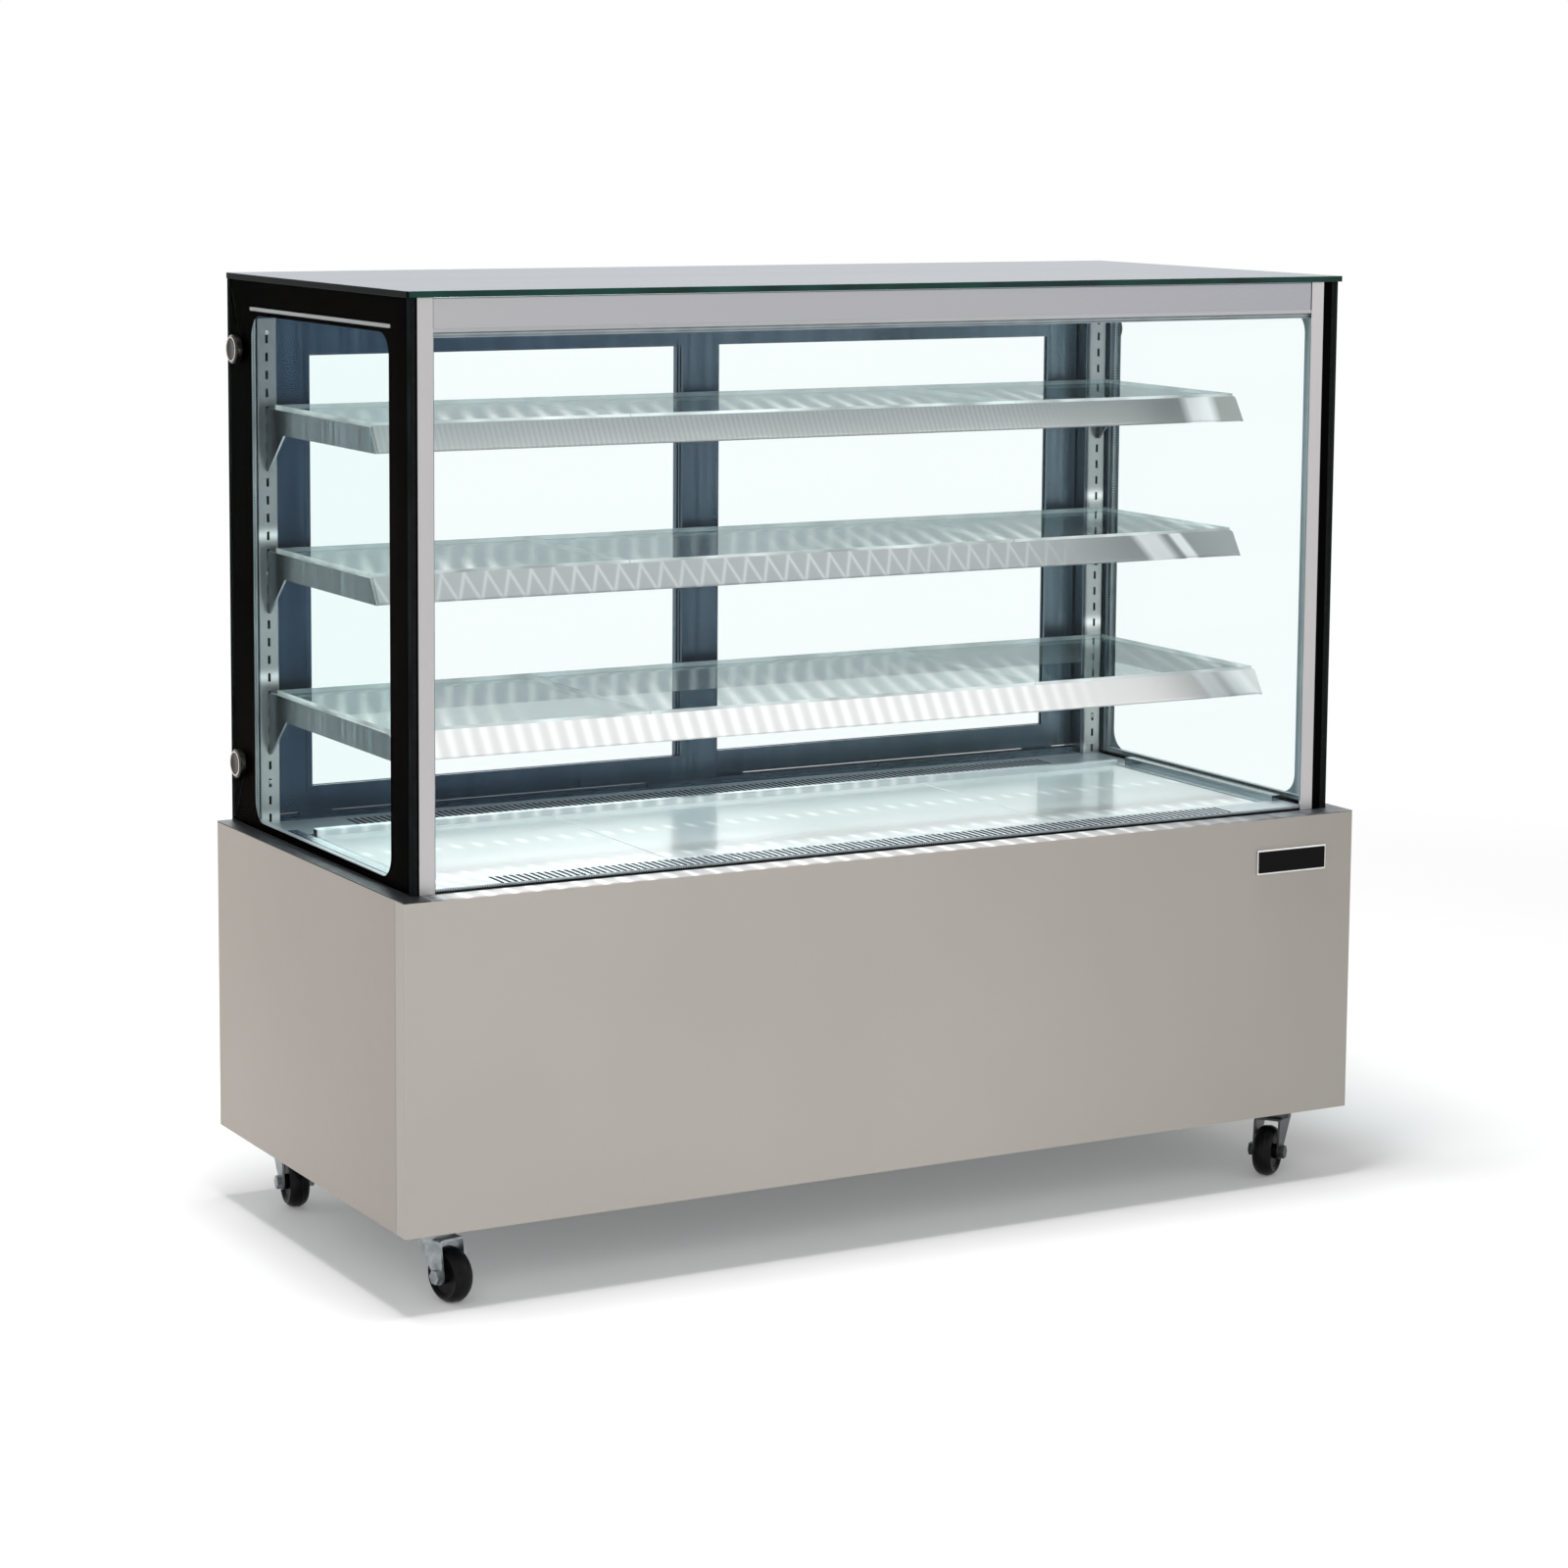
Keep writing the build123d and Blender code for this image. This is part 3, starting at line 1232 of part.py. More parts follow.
def caster_plates():
    """Four top plates, each with the bearing cup of its swivel."""
    race_top = FORK_TOP + RACE_H
    plates = []
    for name, x, y, turn in CASTERS:
        plate = Pos(x, y) * RectangleRounded(CASTER_PLATE_L, CASTER_PLATE_W, CASTER_PLATE_R)
        cup = disc(CUP_R, x, y) - disc(KINGPIN_R + RUN_CLEAR, x, y)
        under = CASTER_HEIGHT - CASTER_PLATE_T
        plates.append(along_z(plate, under, CASTER_HEIGHT) + along_z(cup, race_top + CUP_GAP, under))
    return plates


def fork_body():
    """Swivel fork about the origin, trailing toward -Y: pressed yoke, race, kingpin and axle."""
    trail = -CASTER_TRAIL
    low = WHEEL_R - FORK_END_R
    line = ((-FORK_OUT, low), (-FORK_OUT, FORK_TOP), (FORK_OUT, FORK_TOP), (FORK_OUT, low))
    yoke = along_y(folded(line, Side.RIGHT, sheet=FORK_T, bend=FORK_BEND_R), -CASTER_TRAIL - RACE_R, RACE_R)
    side = outline(
        (FORK_REAR, FORK_TOP),
        (-FORK_FRONT, FORK_TOP),
        (trail - FORK_END_R, WHEEL_R),
        (trail + FORK_END_R, WHEEL_R),
        (FORK_REAR, FORK_TOP - 2 * FORK_T),
    )
    side += disc(FORK_END_R, trail, WHEEL_R)
    yoke &= along_x(side, -FORK_OUT, FORK_OUT)
    race = along_z(Circle(RACE_R), FORK_TOP - FORK_T, FORK_TOP + RACE_H)
    race = chamfer(race.edges().sort_by(Axis.Z)[-1], RACE_CHAMFER)
    body = yoke + race + along_z(Circle(KINGPIN_R), FORK_TOP, CASTER_HEIGHT - CASTER_PLATE_T - KINGPIN_END)
    body += along_x(disc(AXLE_R, trail, WHEEL_R), -FORK_OUT - AXLE_END, FORK_OUT + AXLE_END)
    nut = Pos(trail, WHEEL_R) * RegularPolygon(AXLE_NUT_R, 6)
    for x0 in (-FORK_OUT - AXLE_NUT_T, FORK_OUT):
        body += along_x(nut, x0, x0 + AXLE_NUT_T)
    return body


def caster_fork(x, y, turn):
    """One swivel fork in place."""
    return Pos(x, y, 0) * Rot(0, 0, turn) * fork_body()


def wheel_body():
    """Wheel about X with a crowned tread, a sunk web on each side and a hub."""
    tread = WHEEL_W / 2
    hub = FORK_HALF - HUB_GAP
    bore = AXLE_R + RUN_CLEAR
    half = outline(
        (0, WHEEL_R),
        (TREAD_FLAT, WHEEL_R),
        (TREAD_TURN, WHEEL_R - TREAD_FALL),
        (tread, WHEEL_R - TREAD_CROWN),
        (tread, RIM_R),
        (WEB_T / 2, RIM_R),
        (WEB_T / 2, HUB_R),
        (hub, HUB_R),
        (hub, bore),
        (0, bore),
    )
    return turned_x(half + mirror(half, about=Plane.YZ))


def caster_wheel(x, y, turn):
    """One wheel in place."""
    return Pos(x, y, 0) * Rot(0, 0, turn) * Pos(0, -CASTER_TRAIL, WHEEL_R) * wheel_body()


def main():
    os.makedirs("parts", exist_ok=True)
    save("floor_pan", floor_pan())
    save("base_uprights", base_uprights())
    save("front_panel", front_panel())
    save("side_panel_left", side_panel(-1))
    save("side_panel_right", side_panel(1))
    save("rear_panel", rear_panel())
    save("condenser_grille", condenser_grille())
    save("insulated_well", insulated_well())
    save("top_rim", top_rim())
    save("front_air_grille", front_air_grille())
    save("rear_air_grille", rear_air_grille())
    save("deck_panels", deck_panels())
    save("deck_side_trims", deck_side_trims())
    save("front_posts", front_posts())
    save("rear_posts", rear_posts())
    save("shelf_standards", shelf_standards())
    save("header_beam", header_beam())
    save("top_side_rails", top_side_rails())
    save("rear_top_rail", rear_top_rail())
    save("rear_bottom_track", rear_bottom_track())
    save("front_glass", front_glass())
    save("side_glass_left", side_glass(-1))
    save("side_glass_right", side_glass(1))
    save("glass_spacers", glass_spacers())
    save("enamel_borders", enamel_borders())
    save("top_glass", top_glass())
    save("glass_standoffs", glass_standoffs())
    save("glazing_gasket", glazing_gasket())
    save("led_strips", led_strips())
    for level, name in enumerate(("top", "middle", "bottom")):
        save("shelf_frame_" + name, shelf_frame(level))
        save("shelf_glass_" + name, shelf_glass(level))
    save("door_left_frame", door_frame(-1))
    save("door_right_frame", door_frame(1))
    save("door_left_glass", door_glass(-1))
    save("door_right_glass", door_glass(1))
    save("compressor", compressor())
    save("condenser_coil", condenser_coil())
    save("fan_shroud", fan_shroud())
    save("condenser_fan", condenser_fan())
    save("evaporator_coil", evaporator_coil())
    save("evaporator_fan_plate", evaporator_fan_plate())
    save("evaporator_fan", evaporator_fan())
    save("refrigerant_lines", refrigerant_lines())
    save("drip_tray", drip_tray())
    save("control_panel", control_panel())
    save("rocker_power", rocker(0))
    save("rocker_light", rocker(1))
    save("caster_plates", caster_plates())
    for name, x, y, turn in CASTERS:
        save("caster_fork_" + name, caster_fork(x, y, turn))
        save("caster_wheel_" + name, caster_wheel(x, y, turn))


main()
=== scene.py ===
"""Materials, fine trim, lights and camera for the bakery display case."""

import json
import math

import bmesh
import bpy
from mathutils import Matrix, Vector


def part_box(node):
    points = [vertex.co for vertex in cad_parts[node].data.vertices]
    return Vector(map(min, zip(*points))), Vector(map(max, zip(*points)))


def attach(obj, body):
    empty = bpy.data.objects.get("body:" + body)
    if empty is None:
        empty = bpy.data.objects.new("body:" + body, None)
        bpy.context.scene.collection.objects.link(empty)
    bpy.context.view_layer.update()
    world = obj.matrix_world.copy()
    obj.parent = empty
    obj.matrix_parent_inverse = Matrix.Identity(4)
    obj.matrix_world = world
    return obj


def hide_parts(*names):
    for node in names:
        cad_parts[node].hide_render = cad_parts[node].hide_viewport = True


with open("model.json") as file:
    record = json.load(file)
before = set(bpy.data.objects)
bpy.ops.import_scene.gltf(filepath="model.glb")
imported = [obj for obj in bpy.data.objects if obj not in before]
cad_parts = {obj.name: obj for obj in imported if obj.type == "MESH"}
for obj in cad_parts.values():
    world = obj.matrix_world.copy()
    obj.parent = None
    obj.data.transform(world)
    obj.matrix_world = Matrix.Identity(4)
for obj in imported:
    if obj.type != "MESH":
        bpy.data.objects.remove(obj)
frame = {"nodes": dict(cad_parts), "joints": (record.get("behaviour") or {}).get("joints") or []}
nodes = frame["nodes"]
joints = {joint["name"]: joint for joint in frame["joints"]}
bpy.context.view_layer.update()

MM = 0.001
CORNERS = ("front_left", "front_right", "rear_left", "rear_right")
SHELVES = ("top", "middle", "bottom")

# ---- places read from the frame ----------------------------------------------------------

base_low, base_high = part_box("front_panel")
side_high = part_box("side_panel_right")[1]
ledge_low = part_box("top_rim")[0]
header_low, header_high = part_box("header_beam")
post_low, post_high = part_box("front_posts")
standard_low, standard_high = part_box("shelf_standards")
knob_low, knob_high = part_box("glass_standoffs")
caster_plate_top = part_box("caster_plates")[1].z
lip_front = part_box("deck_side_trims")[0].y
lip_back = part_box("deck_side_trims")[1].y
nose_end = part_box("shelf_frame_top")[1].x
silver_line_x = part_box("glass_spacers")[1].x - 0.5 * MM


# ---- tones and sizes that several materials and pieces share -----------------------------

PAINT_DARK = (0.385, 0.358, 0.322)
PAINT_LIGHT = (0.425, 0.395, 0.358)
WHITE = (1.0, 1.0, 1.0)
BLACK = (0.0, 0.0, 0.0)
LAMP_PITCH = 33 * MM
LAMP_GLOW = 9.0
SHELF_PITCH = 200 * MM

# painted highlights (gleams) on the front rails of the shelves, square to the rail or leaning
GLEAM = (0.97, 0.98, 0.98)
GLEAM_LEAN = (0.86, 0, 0.51)

# black seals of the side panes, which cover the outer edges of the front posts
LEFT_SEAL = 2.5 * MM
RIGHT_SEAL = 15 * MM
SEAL_BLEND = 0.2 * MM

# how far a unit normal points along an axis: along it, mostly, or partly
ALONG = 0.9
MOSTLY = 0.6
PARTLY = 0.5


# ---- shader helpers ----------------------------------------------------------------------

class Shader:
    """A material under construction, with short calls that add and link nodes."""

    def __init__(self, name):
        self.material = bpy.data.materials.new(name)
        self.material.use_nodes = True
        self.tree = self.material.node_tree
        self.tree.nodes.clear()
        self.output = self.tree.nodes.new("ShaderNodeOutputMaterial")
        self.place = None

    def add(self, kind, settings=None, **sockets):
        """New node of a kind; a socket takes a number, a colour or another node's output."""
        item = self.tree.nodes.new("ShaderNode" + kind)
        for key, value in (settings or {}).items():
            setattr(item, key, value)
        for key, value in sockets.items():
            self.feed(item.inputs[key.replace("_", " ")], value)
        return item

    def feed(self, socket, value):
        if isinstance(value, bpy.types.NodeSocket):
            self.tree.links.new(value, socket)
        else:
            socket.default_value = value

    def where(self, scale=(1, 1, 1)):
        """Place in the object's own frame, in metres, stretched by a scale along each axis."""
        if self.place is None:
            self.place = self.add("TexCoord").outputs["Object"]
        return self.add("Mapping", Vector=self.place, Scale=scale).outputs["Vector"]

    def noise(self, scale, stretch=(1, 1, 1), detail=2.0):
        texture = self.add("TexNoise", Vector=self.where(stretch), Scale=scale, Detail=detail)
        return texture.outputs["Fac"]

    def math(self, operation, a, b=0.0):
        item = self.tree.nodes.new("ShaderNodeMath")
        item.operation = operation
        self.feed(item.inputs[0], a)
        self.feed(item.inputs[1], b)
        return item.outputs[0]

    def along(self, direction):
        """Distance along a direction, in metres."""
        item = self.tree.nodes.new("ShaderNodeVectorMath")
        item.operation = "DOT_PRODUCT"
        self.feed(item.inputs[0], self.where())
        item.inputs[1].default_value = direction
        return item.outputs["Value"]

    def distance(self):
        """Distance from the middle of the floor, in metres."""
        item = self.tree.nodes.new("ShaderNodeVectorMath")
        item.operation = "LENGTH"
        self.feed(item.inputs[0], self.where())
        return item.outputs["Value"]

    def bars(self, direction, pitch, sharpness, start=0.0):
        """Soft bright bars a pitch apart along a direction, from 0 between them to 1."""
        steps = self.math("SUBTRACT", self.along(direction), start)
        wave = self.math("COSINE", self.math("MULTIPLY", steps, 2 * math.pi / pitch))
        level = self.math("MULTIPLY_ADD", wave, 0.5)
        level.node.inputs[2].default_value = 0.5
        return self.math("POWER", level, sharpness)

    def patch(self, direction, centre, half):
        """Soft band across a direction, 1 along its middle and 0 beyond its half width."""
        off = self.math("ABSOLUTE", self.math("SUBTRACT", self.along(direction), centre))
        return self.span(off, 1.0, 0.0, 0.5 * half, half)

    def ramp(self, value, low, high, start=0.0, end=1.0):
        """Colour between low and high as a value goes from start to end."""
        item = self.add("ValToRGB", Fac=value)
        stops = item.color_ramp.elements
        stops[0].position, stops[1].position = start, end
        stops[0].color, stops[1].color = (*low, 1), (*high, 1)
        return item.outputs["Color"]

    def span(self, value, low, high, start=0.0, end=1.0):
        """Number between low and high as a value goes from start to end."""
        item = self.add("MapRange", Value=value)
        item.inputs["From Min"].default_value = start
        item.inputs["From Max"].default_value = end
        item.inputs["To Min"].default_value = low
        item.inputs["To Max"].default_value = high
        return item.outputs["Result"]

    def mix(self, factor, a, b):
        """Colour a where the factor is 0 and b where it is 1."""
        item = self.add("Mix", {"data_type": "RGBA"})
        self.feed(item.inputs["Factor"], factor)
        for socket, value in ((item.inputs[6], a), (item.inputs[7], b)):
            self.feed(socket, value if isinstance(value, bpy.types.NodeSocket) else (*value, 1))
        return item.outputs[2]

    def bump(self, height, strength, distance):
        item = self.add("Bump", Height=height, Strength=strength, Distance=distance)
        return item.outputs["Normal"]

    def surface(self, colour, **sockets):
        """Principled surface; a colour is three numbers or another node's output."""
        is_link = isinstance(colour, bpy.types.NodeSocket)
        base = colour if is_link else (*colour, 1)
        shader = self.add("BsdfPrincipled", Base_Color=base, **sockets)
        self.tree.links.new(shader.outputs[0], self.output.inputs["Surface"])
        return self.material


def shade(colour, factor):
    """Colour made lighter or darker by a factor."""
    return tuple(min(channel * factor, 1.0) for channel in colour)


# ---- materials ---------------------------------------------------------------------------

def painted_steel(name, tint, direction, start, end, share):
    """Satin powder coat with a faint orange-peel texture.

    Along a direction it deepens by a share, from a start to an end in metres, as painted shade.
    """
    s = Shader(name)
    cloud = s.noise(1.6, detail=3)
    dark = tuple(a * b for a, b in zip(PAINT_DARK, tint))
    light = tuple(a * b for a, b in zip(PAINT_LIGHT, tint))
    # painted shade: the coat darkens along the direction, where less light falls
    fade = s.span(s.along(direction), 0.0, share, start, end)
    colour = s.mix(fade, s.ramp(cloud, dark, light, 0.3, 0.7), BLACK)
    peel = s.bump(s.noise(900), 0.12, 0.2 * MM)
    rough = s.span(s.noise(40), 0.42, 0.5)
    return s.surface(colour, Roughness=rough, Normal=peel)


def steel(name, colour, grain=(1, 1, 1), rough=0.3, spread=0.12, metallic=1.0):
    """Brushed steel; grain is long where its stretch is small."""
    s = Shader(name)
    lines = s.noise(60, grain, 4)
    cloud = s.noise(4, detail=3)
    tone = s.math("MULTIPLY_ADD", lines, 0.6)
    s.feed(tone.node.inputs[2], s.math("MULTIPLY", cloud, 0.4))
    base = s.ramp(tone, shade(colour, 1 - spread), shade(colour, 1 + spread), 0.3, 0.7)
    roughness = s.span(lines, rough * 0.85, rough * 1.15, 0.3, 0.7)
    normal = s.bump(lines, 0.05, 0.1 * MM)
    return s.surface(base, Metallic=metallic, Roughness=roughness, Normal=normal)


def barred_steel(name, dark, light, waves, gleams=(), rough=0.35):
    """Steel with painted lamp reflections as soft bars, and a painted gleam or two at its right
    end.

    Each wave is its direction, pitch, sharpness and start; each gleam its direction, centre
    and half width.
    """
    s = Shader(name)
    last_bar, plain_from = 0.30, 0.42
    level = None
    # painted reflections of the lamps, as bars
    for wave in waves:
        bar = s.bars(*wave)
        level = bar if level is None else s.math("MAXIMUM", level, bar)
    uneven = s.span(s.noise(5, (1, 1, 1), 2), 0.55, 1.0, 0.3, 0.7)
    fade = s.span(s.along((1, 0, 0)), 1.0, 0.0, last_bar, plain_from)
    base = s.ramp(s.math("MULTIPLY", s.math("MULTIPLY", level, uneven), fade), dark, light)
    # painted highlights near the right end
    for gleam in gleams:
        base = s.mix(s.patch(*gleam), base, GLEAM)
    normal = s.bump(s.noise(60, (1, 1, 30), 3), 0.04, 0.1 * MM)
    return s.surface(base, Metallic=0.9, Roughness=rough, Normal=normal)


def glinting_steel():
    """Steel channel, with painted shade toward its top, painted light at its right and a painted
    lamp glint above the lower shelves.
    """
    s = Shader("standard_steel")
    light_height, dark_height, glint_limit = 0.62, 1.22, 1.05
    blend = 10 * MM
    first_glint = 155 * MM
    lines = s.noise(60, (30, 30, 1), 4)
    # painted shade: darker toward the top, lighter toward the foot
    height = s.span(s.along((0, 0, 1)), 0.0, 1.0, light_height, dark_height)
    plain = s.ramp(height, (0.42, 0.45, 0.455), (0.14, 0.16, 0.18))
    grained = s.mix(s.span(lines, 0.0, 0.35, 0.3, 0.7), plain, (0.42, 0.44, 0.45))
    # painted light: lighter at the right
    right = s.span(s.along((1, 0, 0)), 0.0, 0.4, -0.1, 0.1)
    sided = s.mix(right, grained, (0.42, 0.46, 0.46))
    lit = s.span(s.along((0, 0, 1)), 1.0, 0.0, glint_limit - blend, glint_limit + blend)
    glint = s.math("MULTIPLY", s.bars((0, 0, 1), SHELF_PITCH, 60.0, first_glint), lit)
    base = s.mix(glint, sided, (0.95, 0.97, 0.97))
    return s.surface(base, Metallic=0.9, Roughness=s.span(lines, 0.26, 0.36))


def streaked_steel(name, colour, stretch, spread=0.5):
    """Dark mirror-like steel with soft lighter streaks."""
    s = Shader(name)
    streak = s.noise(18, stretch, 3)
    base = s.ramp(streak, shade(colour, 1 - spread), shade(colour, 1 + 2.2 * spread), 0.38, 0.78)
    fine = s.noise(120, stretch, 3)
    rough = s.span(fine, 0.2, 0.3)
    return s.surface(base, Metallic=1.0, Roughness=rough, Normal=s.bump(fine, 0.04, 0.1 * MM))


def slate_steel():
    """Dark steel at the rear of the case, bluer at the left, with painted light making it lighter
    at the right.
    """
    s = Shader("slate_steel")
    left_x, right_x = -0.55, 0.62
    streak = s.noise(18, (6, 6, 0.15), 3)
    left = s.ramp(streak, (0.016, 0.036, 0.066), (0.046, 0.082, 0.128), 0.38, 0.78)
    right = s.ramp(streak, (0.085, 0.125, 0.155), (0.15, 0.20, 0.235), 0.38, 0.78)
    # painted light: lighter toward the right
    base = s.mix(s.span(s.along((1, 0, 0)), 0.0, 1.0, left_x, right_x), left, right)
    rough = s.span(s.noise(120, (6, 6, 0.15), 3), 0.2, 0.3)
    return s.surface(base, Metallic=0.85, Roughness=rough)


def ledge_steel():
    """Steel ledge with painted reflections: dark along its left strip, the lamps of the house as
    bright spots along its front strip.
    """
    s = Shader("ledge_steel")
    strip, blend = 36 * MM, 4 * MM
    first_spot, full_spots = ledge_low.x + 46 * MM, ledge_low.x + 80 * MM
    spots_fade, spots_end = 0.30, 0.62
    x = s.along((1, 0, 0))
    cloud = s.noise(14, (4, 1, 1), 3)
    plain = s.ramp(cloud, (0.10, 0.11, 0.12), (0.26, 0.27, 0.29), 0.35, 0.7)
    left = s.span(x, 1.0, 0.0, ledge_low.x + strip, ledge_low.x + strip + blend)
    # painted dark reflection along the left strip
    sides = s.mix(left, plain, (0.035, 0.037, 0.042))
    # painted reflections of the lamps as spots along the front strip
    spots = s.bars((1, 0, 0), LAMP_PITCH, 3.0)
    lit = s.ramp(spots, (0.62, 0.57, 0.57), (1.0, 0.98, 0.98))
    fade = s.span(x, 1.0, 0.0, spots_fade, spots_end)
    start = s.span(x, 0.0, 1.0, first_spot, full_spots)
    y = s.along((0, 1, 0))
    front = s.span(y, 1.0, 0.0, ledge_low.y + strip, ledge_low.y + strip + blend)
    share = s.math("MULTIPLY", s.math("MULTIPLY", fade, start), front)
    base = s.mix(share, sides, lit)
    return s.surface(base, Metallic=0.85, Roughness=s.span(s.noise(40), 0.4, 0.5))


def header_steel():
    """Brushed header with painted light, lighter toward its left end."""
    s = Shader("header_steel")
    lines = s.noise(60, (1, 30, 30), 4)
    grain = s.span(lines, 0.0, 0.25, 0.3, 0.7)
    # painted light: lighter toward the left end
    across = s.span(s.along((1, 0, 0)), 0.0, 1.0, -0.7, 0.7)
    tone = s.ramp(across, (0.46, 0.46, 0.475), (0.335, 0.335, 0.37))
    base = s.mix(grain, tone, (0.50, 0.50, 0.52))
    return s.surface(base, Metallic=1.0, Roughness=s.span(lines, 0.29, 0.39, 0.3, 0.7))


def post_steel():
    """Satin corner post, black where the seal of the side pane lies on it."""
    s = Shader("post_steel")
    lines = s.noise(60, (30, 30, 1), 4)
    satin = s.ramp(lines, (0.42, 0.415, 0.425), (0.50, 0.495, 0.505), 0.3, 0.7)
    x = s.along((1, 0, 0))
    left_end = -post_high.x + LEFT_SEAL
    right_end = post_high.x - RIGHT_SEAL
    left = s.span(x, 1.0, 0.0, left_end, left_end + SEAL_BLEND)
    right = s.span(x, 0.0, 1.0, right_end - SEAL_BLEND, right_end)
    outer = s.math("MAXIMUM", left, right)
    base = s.mix(outer, satin, (0.002, 0.002, 0.002))
    metallic = s.span(outer, 1.0, 0.0)
    gloss = s.span(outer, 0.5, 0.0)
    return s.surface(base, Metallic=metallic, Roughness=0.36, Specular_IOR_Level=gloss)


def clear_glass(name, tint, gloss=0.06, mirror=WHITE, bars=0.0):
    """Thin pane: clear with a slight tint, mirror-like at a low angle, faintly smeared.

    A pane close to a row of lamps takes painted reflections of them as soft bars, up to the
    brightness given.
    """
    straight_on = 0.04
    bar_pitch = 34 * MM
    bars_full, bars_end = -0.08, 0.14
    s = Shader(name)
    clear = s.add("BsdfTransparent", Color=(*tint, 1))
    smear = s.span(s.noise(6, detail=3), 0.0, 0.01, 0.45, 0.8)
    gloss_shader = s.add("BsdfGlossy", Color=(*mirror, 1), Roughness=smear)
    # painted reflections of the lamps, as bars in the mirror colour
    if bars:
        lamps = s.bars((0.93, -0.36, 0), bar_pitch, 2.0)
        patches = s.span(s.noise(3.0, (1, 0.4, 1), 1), 0.0, 1.0, 0.42, 0.6)
        near = s.span(s.along((0, 1, 0)), 1.0, 0.0, bars_full, bars_end)
        share = s.math("MULTIPLY", s.math("MULTIPLY", lamps, patches), near)
        tone = s.ramp(share, mirror, (bars, bars, bars))
        s.feed(gloss_shader.inputs["Color"], tone)
    slant = s.add("LayerWeight", Blend=0.5).outputs["Facing"]
    grazing = s.math("MULTIPLY_ADD", s.math("POWER", slant, 5.0), 1.0 - straight_on)
    grazing.node.inputs[2].default_value = straight_on
    factor = s.math("MULTIPLY", grazing, gloss)
    blend = s.add("MixShader", Fac=factor)
    s.tree.links.new(clear.outputs[0], blend.inputs[1])
    s.tree.links.new(gloss_shader.outputs[0], blend.inputs[2])
    s.tree.links.new(blend.outputs[0], s.output.inputs["Surface"])
    return s.material


def glass_edge(name, colour, gloss=0.6):
    """Ground pane edge that gathers the colour of the glass."""
    s = Shader(name)
    tone = s.noise(12, (1, 1, 1), 2)
    base = s.ramp(tone, shade(colour, 0.6), shade(colour, 1.5), 0.35, 0.7)
    return s.surface(base, Roughness=0.18, Specular_IOR_Level=gloss)


def enamel():
    """Deep black fired border with a trace of brown."""
    s = Shader("dark_enamel")
    cloud = s.noise(3, detail=2)
    base = s.ramp(cloud, (0.0006, 0.0005, 0.0005), (0.003, 0.002, 0.0015), 0.4, 0.7)
    rough = s.span(s.noise(25), 0.2, 0.3)
    return s.surface(base, Roughness=rough, Specular_IOR_Level=0.0)


def enamel_back():
    """Inner face of the fired border, greyed by painted lamp light, with a few long streaks.

    Painted light makes it paler near the front pane and near the rear posts.
    """
    front_full, front_end = -0.262, -0.225
    rear_start, rear_full = 0.262, 0.276
    s = Shader("enamel_back")
    streak = s.noise(10, (6, 6, 0.4), 3)
    slate = s.ramp(streak, (0.105, 0.14, 0.16), (0.19, 0.235, 0.26), 0.35, 0.7)
    # painted light: paler near the front pane and near the rear posts
    front = s.span(s.along((0, 1, 0)), 1.0, 0.0, front_full, front_end)
    rear = s.span(s.along((0, 1, 0)), 0.0, 1.0, rear_start, rear_full)
    base = s.mix(rear, s.mix(front, slate, (0.70, 0.77, 0.77)), (0.50, 0.57, 0.62))
    return s.surface(base, Roughness=s.span(streak, 0.25, 0.4), Specular_IOR_Level=0.2)


def dotted_spacer():
    """Aluminium spacer bar pierced by rows of small breather holes."""
    s = Shader("spacer_bar")
    row_pitch, hole_pitch = 4 * MM, 3.5 * MM
    rows = s.bars((0, 0, 1), row_pitch, 1.0)
    rows = s.math("MULTIPLY", rows, s.bars((1, 1, 0), hole_pitch, 1.0))
    dots = s.span(rows, 0.0, 1.0, 0.45, 0.65)
    metal = s.ramp(s.noise(30), (0.12, 0.15, 0.17), (0.20, 0.235, 0.25), 0.35, 0.65)
    base = s.mix(dots, metal, (0.62, 0.68, 0.69))
    return s.surface(base, Metallic=0.5, Roughness=0.4)


def deck_white():
    """Glossy white deck with painted faint reflections of the lamps above."""
    s = Shader("deck_white")
    row_pitch = 180 * MM
    # painted reflections of the lamps
    lamps = s.bars((1, 0, 0), LAMP_PITCH, 3.0)
    lamps = s.math("MULTIPLY", lamps, s.bars((0, 1, 0), row_pitch, 14.0))
    tone = s.ramp(s.noise(5, detail=3), (0.61, 0.64, 0.63), (0.69, 0.71, 0.705), 0.3, 0.7)
    base = s.mix(s.math("MULTIPLY", lamps, 0.8), tone, WHITE)
    return s.surface(base, Roughness=s.span(s.noise(60), 0.12, 0.2))


def light_diffuser():
    """Opal cover with the lamp board glowing through it as a row of spots."""
    s = Shader("light_diffuser")
    chip_pitch = 16.7 * MM
    spots = s.span(s.bars((1, 0, 0), chip_pitch, 2.0), 0.55, 1.0)
    base = s.ramp(spots, (0.9, 0.93, 0.92), WHITE)
    glow = s.math("MULTIPLY", spots, LAMP_GLOW)
    light = (0.95, 1.0, 0.98, 1)
    return s.surface(base, Roughness=0.4, Emission_Color=light, Emission_Strength=glow)


def rubber(name, colour, rough=0.42, gloss=0.2):
    """Moulded rubber or soft plastic with a fine mottle."""
    s = Shader(name)
    mottle = s.noise(140, detail=4)
    base = s.ramp(mottle, shade(colour, 0.7), shade(colour, 1.5), 0.35, 0.7)
    roughness = s.span(mottle, rough * 0.85, rough * 1.2)
    normal = s.bump(mottle, 0.12, 0.15 * MM)
    return s.surface(base, Roughness=roughness, Specular_IOR_Level=gloss, Normal=normal)


